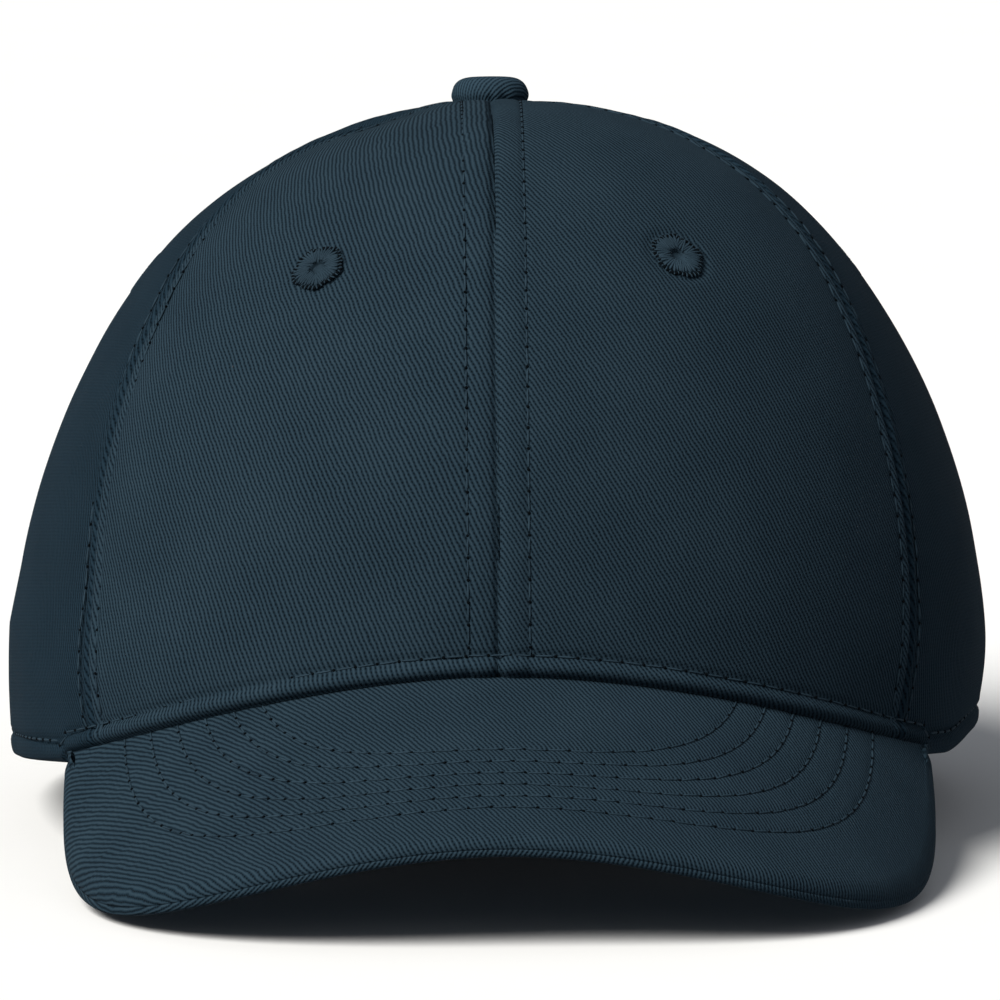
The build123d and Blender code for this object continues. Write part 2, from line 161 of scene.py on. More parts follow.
@dataclass(frozen=True)
class CrownForm:
    """Outer face of the crown: a squared-off egg in plan with full shoulders."""

    half_width: float = 91.0
    front: float = 115.0
    rear: float = 114.0
    top: float = 119.7
    widest: float = 16.0
    rim_taper: float = 0.006
    front_squareness: float = 2.3
    front_fullness: float = 0.16
    shoulder: float = 0.20
    hole: float = 2.2
    hitch_rise: float = 4.0
    hitch_aside: tuple[float, float] = (82.0, 90.0)
    hitch_heights: tuple[float, float] = (18.0, 0.0)

    def plan_radius(self, angle: Array, depth: Array = 0.0) -> Array:
        """Distance from the axis to the widest outline, angle in degrees from the front."""
        fore = np.cos(np.radians(angle))
        reach = np.where(fore < 0, self.rear, self.front) - depth
        power = np.where(fore < 0, 2.0, self.front_squareness)
        across = np.abs(np.sin(np.radians(angle))) / (self.half_width - depth)
        return (across**power + (np.abs(fore) / reach) ** power) ** (-1 / power)

    def lift(self, height: Array, depth: Array = 0.0) -> Array:
        """Profile angle of a height, straight on below the widest level."""
        rise = (np.asarray(height, float) - self.widest) / (self.top - depth - self.widest)
        return np.where(rise > 0, np.arcsin(np.clip(rise, 0, 1)), rise)

    def height(self, lift: Array, depth: Array = 0.0) -> Array:
        """Height of a profile angle."""
        rise = np.where(lift > 0, np.sin(lift), lift)
        return self.widest + (self.top - depth - self.widest) * rise

    def point(self, angle: Array, height: Array, depth: Array = 0.0) -> Array:
        """Point of the crown.

        Args:
            angle: Degrees from the front, plus towards +X.
            height: Millimetres above the rim.
            depth: Millimetres inside the cloth's outer face.

        Returns:
            Array with x, y, z on its last axis.
        """
        angle, height = np.broadcast_arrays(np.asarray(angle, float), np.asarray(height, float))
        lift = np.maximum(self.lift(height, depth), 0)
        front = np.clip(np.cos(np.radians(angle)), 0, None) ** 2
        full = np.clip(np.cos(lift), 1e-9, None) ** (1 - self.front_fullness * front)
        above = full * (1 + self.shoulder * np.sin(lift) ** 5)
        below = 1 - self.rim_taper * (1 - height / self.widest) ** 2
        radius = self.plan_radius(angle, depth) * np.where(height >= self.widest, above, below)
        turn = np.radians(angle)
        return np.stack([radius * np.sin(turn), -radius * np.cos(turn), height], -1)

    def hitch(self, points: Array) -> Array:
        """How far the lowest edge of the right side is drawn up, in millimetres."""
        aside = between(points[..., 0], *self.hitch_aside)
        return self.hitch_rise * aside * between(points[..., 2], *self.hitch_heights)

    def height_at_radius(self, angle: Array, radius: float, depth: float = 0.0) -> Array:
        """Height near the top where the crown has closed in to a radius."""
        power = 1 - self.front_fullness * np.clip(np.cos(np.radians(angle)), 0, None) ** 2
        lift = np.full(np.shape(angle), 1.4)
        for _ in range(6):
            share = radius / self.plan_radius(angle, depth) / (1 + self.shoulder * np.sin(lift) ** 5)
            lift = np.arccos(share ** (1 / power))
        return self.height(lift, depth)

    def seam_normal(self, top: Array, rim: Array) -> Array:
        """Unit normals of the seam planes through the button."""
        turn = np.radians(top)
        along = np.stack([np.sin(turn), -np.cos(turn), np.zeros_like(turn)], -1)
        return unit(np.cross(along, self.point(rim, 0.0) - (0, 0, self.top)))

    def from_seam(self, points: Array, seam: Seam) -> Array:
        """Signed distance of points from a seam plane."""
        normal = self.seam_normal(np.array(float(seam.top)), np.array(float(seam.rim)))
        return (points - np.array([0, 0, self.top])) @ normal

    def on_seam(self, top: Array, rim: Array, height: Array, depth: Array = 0.0) -> Array:
        """Points where seam planes meet the crown at given heights.

        Args:
            top: Angles of the planes near the button.
            rim: Angles of the same planes at the rim.
            height: Heights, in a shape the angles spread to.
            depth: Millimetres inside the cloth's outer face.

        Returns:
            The points.
        """
        apex = np.array([0, 0, self.top])
        normal = self.seam_normal(top, rim)
        low, high = np.minimum(top, rim) - 40.0, np.maximum(top, rim) + 40.0

        def side(angle: Array) -> Array:
            """Which side of the plane a point at this angle is on."""
            return np.sum(normal * (self.point(angle, height, depth) - apex), -1) > 0

        low, high = narrow(low, high, side)
        return self.point((low + high) / 2, height, depth)


@dataclass(frozen=True)
class PeakForm:
    """Upper face of the peak: an arched sheet that slopes forward, rounded in plan."""

    crown: CrownForm = field(default_factory=CrownForm)
    slope: float = 24.0
    arch_radius: float = 103.5
    joint_level: float = 16.0
    half_width: float = 77.9
    reach: float = 57.8
    squareness: float = 2.86
    thickness: float = 3.6

    def height(self, x: Array, y: Array, drop: Array = 0.0) -> Array:
        """Height of the face at plan points, drop below the upper face."""
        run = np.tan(np.radians(self.slope)) * (y + self.crown.front)
        return self.joint_level - self.arch_radius + run + np.sqrt((self.arch_radius - drop) ** 2 - x**2)

    def root(self, x: Array) -> Array:
        """Y of the crown's outline at a plan x."""
        share = np.clip(1 - (np.abs(x) / self.crown.half_width) ** self.crown.front_squareness, 0, 1)
        return -self.crown.front * share ** (1 / self.crown.front_squareness)

    def outline(self, turn: Array, side_inset: float = 0.0, front_inset: float = 0.0) -> Array:
        """Plan points of the outline, or of a row inside it.

        Args:
            turn: Degrees, -90 at the left end of the joint, 0 at the front, 90 at the right.
            side_inset: Millimetres in from the sides.
            front_inset: Millimetres in from the front.

        Returns:
            Array with x, y on its last axis.
        """
        start = self.root(np.array(self.half_width))
        across, along = np.sin(np.radians(turn)), np.abs(np.cos(np.radians(turn)))
        power = 2 / self.squareness
        reach = self.crown.front + start + self.reach - front_inset
        x = (self.half_width - side_inset) * np.sign(across) * np.abs(across) ** power
        return np.stack([x, start - reach * along**power], -1)

    def from_row(self, x: Array, y: Array, side_inset: float, front_inset: float) -> Array:
        """Plan distance from a row, plus outside it."""
        start = self.root(np.array(self.half_width))
        wide = self.half_width - side_inset
        reach = self.crown.front + start + self.reach - front_inset
        p = self.squareness
        ahead = np.clip(start - y, 0, None)
        value = ((np.abs(x) / wide) ** p + (ahead / reach) ** p) ** (1 / p)
        value = np.clip(value, 1e-6, None)
        slope_x = (np.abs(x) / wide) ** (p - 1) / wide * value ** (1 - p)
        slope_y = (ahead / reach) ** (p - 1) / reach * value ** (1 - p)
        return (value - 1) / np.clip(np.hypot(slope_x, slope_y), 1e-4, None)


def rim_height(form: PeakForm, angle: Array, drop: Optional[float] = None) -> Array:
    """Height of the crown's lower edge, arched over the peak at the front.

    Args:
        form: The peak.
        angle: Degrees from the front.
        drop: Millimetres below the peak's upper face; the peak's thickness if not given.

    Returns:
        Heights above the level rim.
    """
    drop = form.thickness if drop is None else drop
    point = form.crown.point(angle, form.crown.widest)
    x, y = point[..., 0], point[..., 1]
    inside = np.abs(x) <= form.half_width
    safe = np.where(inside, x, 0.0)
    arched = np.maximum(form.height(safe, y, drop), 0)
    return np.where((y < 0) & inside, arched, 0.0)


def ripple(points: Array, scale: float, seed: float) -> Array:
    """Smooth noise over points, about -1 to 1, with features of a size in millimetres."""
    flat = points.reshape(-1, 3) / scale + seed
    values = [noise.noise(Vector(p)) for p in flat]
    return np.array(values).reshape(points.shape[:-1])


def normals_of(points: Array) -> Array:
    """Unit normals of a grid of points, away from the crown's axis or upwards."""
    across = np.gradient(points, axis=0)
    along = np.gradient(points, axis=1)
    normal = np.cross(across, along)
    normal = normal / np.clip(np.linalg.norm(normal, axis=-1, keepdims=True), 1e-9, None)
    middle = normal[normal.shape[0] // 2, normal.shape[1] // 2]
    outward = points[points.shape[0] // 2, points.shape[1] // 2] * (1, 1, 0.4) + (0, 0, 1)
    return normal if np.dot(middle, outward) > 0 else -normal


def run_length(points: Array, axis: int) -> Array:
    """Length run along a grid axis up to each point."""
    step = np.linalg.norm(np.diff(points, axis=axis), axis=-1)
    pad = [(1, 0) if a == axis else (0, 0) for a in range(2)]
    return np.cumsum(np.pad(step, pad), axis=axis)


def spread(points: Array) -> Array:
    """Pattern coordinates of a grid: the length run along each of its axes."""
    return np.stack([run_length(points, 0), run_length(points, 1)], -1)


# ---------------------------------------------------------------- meshes


def make_object(name: str, data: bpy.types.ID) -> bpy.types.Object:
    """Link a mesh, lamp or camera to the scene as a new object at the origin."""
    made = bpy.data.objects.new(name, data)
    bpy.context.scene.collection.objects.link(made)
    return made


def grid_object(
    name: str,
    points: Array,
    uv: Array,
    wrap: bool = False,
    keep: Optional[Array] = None,
    flip: bool = False,
) -> bpy.types.Object:
    """Make a mesh from a grid of points.

    Args:
        name: Name of the piece.
        points: Grid of points in the frame, in metres.
        uv: Grid of pattern coordinates, in metres.
        wrap: Whether the first axis closes on itself.
        keep: Mask of the faces to keep, one smaller each way than the grid.
        flip: Whether to turn the faces over.

    Returns:
        The new object, smooth shaded.
    """
    rows, columns = points.shape[:2]
    index = np.arange(rows * columns).reshape(rows, columns)
    if wrap:
        index = np.vstack([index, index[:1]])
    quads = np.stack([index[:-1, :-1], index[1:, :-1], index[1:, 1:], index[:-1, 1:]], -1)
    if keep is not None:
        quads = quads[keep]
    quads = quads.reshape(-1, 4)
    if flip:
        quads = quads[:, ::-1]
    mesh = bpy.data.meshes.new(name)
    mesh.from_pydata(points.reshape(-1, 3).tolist(), [], quads.tolist())
    layer = mesh.uv_layers.new(name="cloth")
    layer.data.foreach_set("uv", uv.reshape(-1, 2)[quads.reshape(-1)].astype(np.float32).ravel())
    shade_smooth(mesh)
    mesh.update()
    return make_object(name, mesh)


def shade_smooth(mesh: bpy.types.Mesh) -> None:
    """Shade every face of a mesh smooth."""
    mesh.polygons.foreach_set("use_smooth", [True] * len(mesh.polygons))


def outward(points: Array, normals: Array) -> bool:
    """Whether a grid's faces, as grid_object winds them, point against the normals."""
    i, j = points.shape[0] // 2, points.shape[1] // 2
    winding = np.cross(points[i + 1, j] - points[i, j], points[i, j + 1] - points[i, j])
    return bool(np.dot(winding, normals[i, j]) < 0)


def thicken(piece: bpy.types.Object, thickness: float) -> None:
    """Give a cloth piece its thickness, inwards from its faces, in millimetres."""
    wall = piece.modifiers.new("thickness", "SOLIDIFY")
    wall.thickness = thickness * MM
    wall.offset = -1.0
    wall.use_even_offset = False


def dress(piece: bpy.types.Object, finish: bpy.types.Material) -> None:
    """Give a piece its material."""
    piece.data.materials.clear()
    piece.data.materials.append(finish)


def settle(piece: bpy.types.Object, body: Body, *nodes: str) -> None:
    """Fix a piece to its body, stand it for the named nodes and report it."""
    if nodes:
        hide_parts(*nodes)
    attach(piece, body.value)
    log.info("%s rides on %s", piece.name, body.value)


def fit(
    piece: bpy.types.Object, finish: bpy.types.Material, slot: str, body: Body, *nodes: str
) -> None:
    """Dress a piece and fix it to its body.

    Args:
        piece: The piece.
        finish: Its material.
        slot: The record's slot it belongs to; not used.
        body: The body that carries it.
        nodes: The frame's nodes it stands for.
    """
    dress(piece, finish)
    settle(piece, body, *nodes)


# ---------------------------------------------------------------- materials


def linear(hex_colour: str) -> tuple[float, float, float, float]:
    """Linear colour of an sRGB hex value such as "2b3a46"."""
    channels = [int(hex_colour[i : i + 2], 16) / 255 for i in (0, 2, 4)]
    curved = [c / 12.92 if c <= 0.04045 else ((c + 0.055) / 1.055) ** 2.4 for c in channels]
    return (*curved, 1.0)


def add_node(
    tree: bpy.types.NodeTree, kind: str, inputs: Optional[dict] = None, **settings: object
) -> bpy.types.Node:
    """Add a node with its settings and links.

    Args:
        tree: Node tree to add to.
        kind: Blender's name of the node type.
        inputs: Input socket, by name or number, to a value or to an output socket.
        settings: Properties of the node.

    Returns:
        The new node.
    """
    node = tree.nodes.new(kind)
    for name, value in settings.items():
        setattr(node, name, value)
    for socket, value in (inputs or {}).items():
        if isinstance(value, bpy.types.NodeSocket):
            tree.links.new(value, node.inputs[socket])
        else:
            node.inputs[socket].default_value = value
    return node


def new_material(name: str) -> tuple[bpy.types.Material, bpy.types.NodeTree]:
    """Empty node material and its tree."""
    material = bpy.data.materials.new(name)
    material.use_nodes = True
    material.node_tree.nodes.clear()
    return material, material.node_tree


def colour_ramp(
    tree: bpy.types.NodeTree, factor: bpy.types.NodeSocket, stops: Sequence[tuple[float, str]]
) -> bpy.types.NodeSocket:
    """Blend sRGB hex colours along a factor.

    Args:
        tree: Node tree to add to.
        factor: Socket that drives the blend.
        stops: Positions and colours, in order.

    Returns:
        The colour socket.
    """
    ramp = add_node(tree, "ShaderNodeValToRGB", {"Fac": factor})
    elements = ramp.color_ramp.elements
    while len(elements) < len(stops):
        elements.new(0.5)
    for element, (position, colour) in zip(elements, stops):
        element.position = position
        element.color = linear(colour)
    return ramp.outputs["Color"]


def finish_surface(
    tree: bpy.types.NodeTree,
    colour: bpy.types.NodeSocket,
    height: bpy.types.NodeSocket,
    relief: float,
    surface: dict,
) -> None:
    """End a material with a Principled shader over a bump.

    Args:
        tree: Node tree to end.
        colour: Base colour socket.
        height: Height socket, 0 to 1.
        relief: Real height of the relief in millimetres.
        surface: Values for the shader's own sockets.
    """
    raised = {"Height": height, "Distance": relief * MM, "Strength": 1.0}
    normal = add_node(tree, "ShaderNodeBump", raised).outputs["Normal"]
    coated = {"Base Color": colour, "Normal": normal, **surface}
    shader = add_node(tree, "ShaderNodeBsdfPrincipled", coated).outputs["BSDF"]
    add_node(tree, "ShaderNodeOutputMaterial", {"Surface": shader})


def compute(tree: bpy.types.NodeTree, operation: str, *values: object) -> bpy.types.NodeSocket:
    """Work a number out from values or sockets with a Math node."""
    return add_node(tree, "ShaderNodeMath", dict(enumerate(values)), operation=operation).outputs[0]


def noise_at(
    tree: bpy.types.NodeTree,
    place: bpy.types.NodeSocket,
    scale: float,
    detail: float,
    roughness: float = 0.5,
) -> bpy.types.NodeSocket:
    """Soft noise, 0.5 on average.

    Args:
        tree: Node tree to add to.
        place: Coordinates.
        scale: Features for each unit of the coordinates.
        detail: Number of finer layers.
        roughness: How strong the finer layers are.

    Returns:
        The noise socket.
    """
    inputs = {"Vector": place, "Scale": scale, "Detail": detail, "Roughness": roughness}
    return add_node(tree, "ShaderNodeTexNoise", inputs).outputs["Fac"]


@dataclass(frozen=True)
class TwillCotton:
    """Dyed cotton twill: diagonal ribs of soft yarn, matt with a faint nap."""

    name: str
    # Ramp colours: the valley colour is painted shade in the recesses between ribs; the worn colour is painted
    # highlight on the rib crests and also marks random paler patches.
    shaded_valley: str
    rib: str
    worn: str
    angle: float
    pitch: float = 0.80
    relief: float = 0.15
    wander: float = 1.1
    uneven: float = 0.30
    rib_power: float = 0.62
    stagger: float = 0.37
    picks_per_rib: float = 1.15
    pick_depth: float = 0.22
    fuzz: float = 0.5
    patchiness: float = 0.35
    shades: tuple[float, float] = (0.30, 1.75)

    def build(self) -> bpy.types.Material:
        """Make the material; the ribs follow the piece's own cloth coordinates."""
        material, tree = new_material(self.name)
        cloth = add_node(tree, "ShaderNodeUVMap", uv_map="cloth").outputs["UV"]
        per_rib = 1 / (self.pitch * MM)
        laid = {"Vector": cloth, "Rotation": (0, 0, math.radians(self.angle)), "Scale": (per_rib,) * 3}
        turned = add_node(tree, "ShaderNodeMapping", laid).outputs["Vector"]
        split = add_node(tree, "ShaderNodeSeparateXYZ", {"Vector": turned}).outputs
        stray = noise_at(tree, turned, scale=0.13, detail=3.0, roughness=0.7)
        thick_thin = noise_at(tree, turned, scale=0.8, detail=2.0)
        across = compute(tree, "MULTIPLY_ADD", stray, self.wander, split["X"])
        across = compute(tree, "MULTIPLY_ADD", thick_thin, self.uneven, across)
        wave = compute(tree, "SINE", compute(tree, "MULTIPLY", across, math.tau))
        rib = compute(tree, "POWER", compute(tree, "MULTIPLY_ADD", wave, 0.5, 0.5), self.rib_power)
        number = compute(tree, "FLOOR", across)
        along = compute(tree, "MULTIPLY_ADD", number, self.stagger, split["Y"])
        picks = compute(tree, "SINE", compute(tree, "MULTIPLY", along, math.tau * self.picks_per_rib))
        pick_share = compute(tree, "MULTIPLY", picks, compute(tree, "SUBTRACT", 1.0, rib))
        yarn = compute(tree, "MULTIPLY_ADD", pick_share, self.pick_depth, rib)
        grain = noise_at(tree, turned, scale=2.2, detail=4.0, roughness=0.75)
        height = compute(tree, "MULTIPLY_ADD", grain, self.fuzz, yarn)
        patches = noise_at(tree, cloth, scale=55.0, detail=3.0)
        # Colour follows rib height: painted shade towards the valleys, painted highlight towards the crests; the
        # patches add random uneven tone.
        shade = compute(tree, "MULTIPLY_ADD", patches, self.patchiness, height)
        span = {"Value": shade, "From Min": self.shades[0], "From Max": self.shades[1]}
        factor = add_node(tree, "ShaderNodeMapRange", span).outputs["Result"]
        colour = colour_ramp(tree, factor, ((0.0, self.shaded_valley), (0.55, self.rib), (1.0, self.worn)))
        surface = {
            "Roughness": 0.92,
            "IOR": 1.46,
            "Specular IOR Level": 0.05,
            "Sheen Weight": 0.03,
            "Sheen Roughness": 0.6,
            "Sheen Tint": linear("5b7f99"),
        }
        finish_surface(tree, colour, height, self.relief, surface)
        return material


@dataclass(frozen=True)
class PlainWeave:
    """Plain woven tape, webbing or ribbon: a small basket of crossing yarns."""

    name: str
    dark: str
    light: str
    pitch: float
    relief: float = 0.1
    roughness: float = 0.8
    sheen: float = 0.15
    crossing: float = 0.5
    grain_scale: float = 1400.0

    def build(self) -> bpy.types.Material:
        """Make the material; the yarns follow the piece's own cloth coordinates."""
        material, tree = new_material(self.name)
        cloth = add_node(tree, "ShaderNodeUVMap", uv_map="cloth").outputs["UV"]
        turns = {0: cloth, 1: (math.pi / (self.pitch * MM),) * 3}
        scaled = add_node(tree, "ShaderNodeVectorMath", turns, operation="MULTIPLY").outputs[0]
        waves = add_node(tree, "ShaderNodeVectorMath", {0: scaled}, operation="SINE").outputs[0]
        split = add_node(tree, "ShaderNodeSeparateXYZ", {"Vector": waves}).outputs
        cross = compute(tree, "MULTIPLY", split["X"], split["Y"])
        grain = noise_at(tree, cloth, self.grain_scale, detail=2.0)
        height = compute(tree, "MULTIPLY_ADD", cross, self.crossing, grain)
        colour = colour_ramp(tree, height, ((0.1, self.dark), (0.9, self.light)))
        surface = {"Roughness": self.roughness, "IOR": 1.5, "Sheen Weight": self.sheen}
        finish_surface(tree, colour, height, self.relief, surface)
        return material


@dataclass(frozen=True)
class Speckled:
    """Surface with fine grain in space: thread, foam, pile, moulded plastic or towelling."""

    name: str
    dark: str
    light: str
    grain: float
    relief: float
    roughness: float
    ior: float = 1.5
    shine: float = 0.5
    sheen: float = 0.0
    metallic: float = 0.0
    cells: bool = False
    broad_grain: float = 25.0
    shades: tuple[float, float] = (0.6, 1.4)

    def build(self) -> bpy.types.Material:
        """Make the material; the grain follows Object coordinates at its real size."""
        material, tree = new_material(self.name)
        place = add_node(tree, "ShaderNodeTexCoord").outputs["Object"]
        scale = 1 / (self.grain * MM)
        fine = height = noise_at(tree, place, scale, detail=3.0, roughness=0.65)
        if self.cells:
            cell = add_node(tree, "ShaderNodeTexVoronoi", {"Vector": place, "Scale": scale})
            height = cell.outputs["Distance"]
        shade = compute(tree, "ADD", noise_at(tree, place, scale / self.broad_grain, detail=2.0), fine)
        span = {"Value": shade, "From Min": self.shades[0], "From Max": self.shades[1]}
        factor = add_node(tree, "ShaderNodeMapRange", span).outputs["Result"]
        colour = colour_ramp(tree, factor, ((0.0, self.dark), (1.0, self.light)))
        surface = {
            "Roughness": self.roughness,
            "IOR": self.ior,
            "Specular IOR Level": self.shine,
            "Sheen Weight": self.sheen,
            "Metallic": self.metallic,
        }
        finish_surface(tree, colour, height, self.relief, surface)
        return material


class Finishes:
    """Every material of the cap, by the piece that wears it."""

    NAVY = {"shaded_valley": "070d13", "rib": "21323d", "worn": "35454f"}
    # A darker copy of the same navy cloth: painted shade for the side and rear panels.
    SHADED_NAVY = {"shaded_valley": "040a10", "rib": "182934", "worn": "263641"}
    # A lighter copy of the same navy cloth: painted highlight for the trim.
    LIT_NAVY = {"shaded_valley": "121d26", "rib": "283b47", "worn": "394b57"}

    def __init__(self) -> None:
        """Build them all once."""

        def twill(where: str, angle: float, dye: dict, **sizes: float) -> bpy.types.Material:
            """One cloth of the cap, cut at an angle."""
            return TwillCotton("cotton twill, " + where, angle=angle, **dye, **sizes).build()

        def plain(name: str, dark: str, light: str, pitch: float, **sizes: float) -> bpy.types.Material:
            """One woven band."""
            return PlainWeave(name, dark, light, pitch, **sizes).build()

        def grainy(
            name: str, dark: str, light: str, grain: float, relief: float, roughness: float, **more: float
        ) -> bpy.types.Material:
            """One surface with grain in space."""
            return Speckled(name, dark, light, grain, relief, roughness, **more).build()

        # Faded navy ribs over near-black valleys: steep diagonal lines that catch a low light. The near-black of
        # the valleys is painted shade and the palest crest colour painted highlight; the side and rear cloth is a
        # darker copy of the same cloth, painted shade.
        self.front_left = twill("left front", -24, self.NAVY, pitch=0.86)
        self.front_right = twill("right front", -31, self.NAVY, pitch=0.74)
        self.side = twill("side and rear", -22, self.SHADED_NAVY)
        self.peak = twill("peak", -28, self.NAVY, pitch=0.84)
        # The same cloth cut across its ribs, in a lighter copy of its colours: painted highlight.
        self.trim = twill("bias cut trim", 40, self.LIT_NAVY)
        # Thread a shade off the cloth with a dull shine, and near-black pits that are painted shade of the needle
        # holes it leaves.
        self.thread = grainy("polyester sewing thread", "16252f", "2e414d", 0.25, 0.04, 0.8, shine=0.12)
        self.hole = grainy("painted shade of needle holes", "030609", "080e13", 0.3, 0.02, 0.95, shine=0.05)
        # Coarse ribbed strap, flat tape, smooth pale ribbon, and open mesh that reads grey.
        self.webbing = plain("polyester webbing", "131b23", "2f3d49", 0.9, relief=0.2)
        self.tape = plain("cotton seam tape", "10161d", "28323d", 0.8)
        self.ribbon = plain("satin ribbon", "b9b9b4", "d9d9d5", 0.35, roughness=0.45)
        self.mesh = plain("stiffened buckram", "9a9b98", "dddedb", 1.4, relief=0.3)
        # Dark and shaggy: no shine, a bloom of light along the edges.
        self.towelling = grainy("cotton towelling", "0d1014", "2a3038", 0.7, 0.35, 0.95, sheen=0.4)
        self.pile = grainy("brushed loop pile", "0b0d10", "2b3037", 0.45, 0.4, 0.95, sheen=0.5)
        # Plain plastics: hooks with a glint, foam of small cells, a shell with a soft gloss.
        self.hooks = grainy("moulded nylon hook tape", "0c0d0f", "1d1f22", 1.0, 0.05, 0.5)
        self.foam = grainy("closed-cell EVA foam", "17191c", "2a2d31", 0.5, 0.08, 0.85, cells=True)
        self.shell = grainy("moulded ABS", "0d0e10", "191b1e", 0.35, 0.025, 0.42, ior=1.53)
        self.board = grainy("polyethylene board", "b7b8b4", "d4d5d1", 2.0, 0.05, 0.5)
        # Bright metal, slightly brushed.
        self.steel = grainy("plated steel", "8f8f8b", "b9b9b5", 0.6, 0.01, 0.35, metallic=1.0)


# ---------------------------------------------------------------- stitches and wires


def new_group(name: str, numbers: Sequence[str], materials: Sequence[str]) -> bpy.types.NodeTree:
    """Empty Geometry Nodes tree with its sockets, a seed among them.

    Args:
        name: Name of the tree.
        numbers: Names of its number inputs.
        materials: Names of its material inputs.

    Returns:
        The tree.
    """
    tree = bpy.data.node_groups.new(name, "GeometryNodeTree")
    sockets = [("Geometry", "Geometry"), *((number, "Float") for number in numbers), ("Seed", "Int")]
    for socket, kind in sockets + [(material, "Material") for material in materials]:
        tree.interface.new_socket(socket, in_out="INPUT", socket_type="NodeSocket" + kind)
    tree.interface.new_socket("Geometry", in_out="OUTPUT", socket_type="NodeSocketGeometry")
    return tree


def evaluated_mesh(piece: bpy.types.Object) -> bpy.types.Mesh:
    """A piece's mesh with its modifiers applied; the modifiers are taken off."""
    graph = bpy.context.evaluated_depsgraph_get()
    mesh = bpy.data.meshes.new_from_object(piece.evaluated_get(graph))
    piece.modifiers.clear()
    return mesh


def grow(
    name: str, carrier: bpy.types.Object, tree: bpy.types.NodeTree, values: dict
) -> bpy.types.Object:
    """Replace a carrier by the plain mesh that a Geometry Nodes tree makes of it.

    Args:
        name: Name of the new object.
        carrier: Object the tree starts from.
        tree: The tree.
        values: Its inputs, by name.

    Returns:
        The new object.
    """
    modifier = carrier.modifiers.new("grow", "NODES")
    modifier.node_group = tree
    for item in tree.interface.items_tree:
        if item.in_out == "INPUT" and item.name in values:
            modifier[item.identifier] = values[item.name]
    mesh = evaluated_mesh(carrier)
    bpy.data.objects.remove(carrier)
    mesh.name = name
    return make_object(name, mesh)


def spun(tree: bpy.types.NodeTree, rotation: object, angle: bpy.types.NodeSocket) -> bpy.types.NodeSocket:
    """A rotation with a further turn about its own upright axis."""
    about = {"Axis": (0, 0, 1), "Angle": angle}
    spin = add_node(tree, "FunctionNodeAxisAngleToRotation", about).outputs[0]
    turned = {"Rotation": rotation, "Rotate By": spin}
    return add_node(tree, "FunctionNodeRotateRotation", turned, rotation_space="LOCAL").outputs[0]


def placed_copies(
    tree: bpy.types.NodeTree, material: bpy.types.NodeSocket, **inputs: object
) -> bpy.types.NodeSocket:
    """Copies of a shape on points, made real, in one material.

    Args:
        tree: Node tree to add to.
        material: Their material.
        inputs: Points, Instance, Rotation and, where wanted, Scale and Selection.

    Returns:
        The geometry socket.
    """
    laid = add_node(tree, "GeometryNodeInstanceOnPoints", inputs).outputs[0]
    real = add_node(tree, "GeometryNodeRealizeInstances", {0: laid}).outputs[0]
    return add_node(tree, "GeometryNodeSetMaterial", {"Geometry": real, "Material": material}).outputs[0]


@dataclass(frozen=True)
class StitchKind:
    """Sizes of a run of stitches, in millimetres, and how they lie on their path."""

    pitch: float = 3.9
    length: float = 3.4
    radius: float = 0.20
    turn: float = 0.0
    jitter: float = 0.04
    seed: int = 7
    hole: float = 0.30


@dataclass
class Path:
    """Line that stitches follow, in worn millimetres, with the cloth's normals."""

    points: Array
    normals: Array
    closed: bool = False


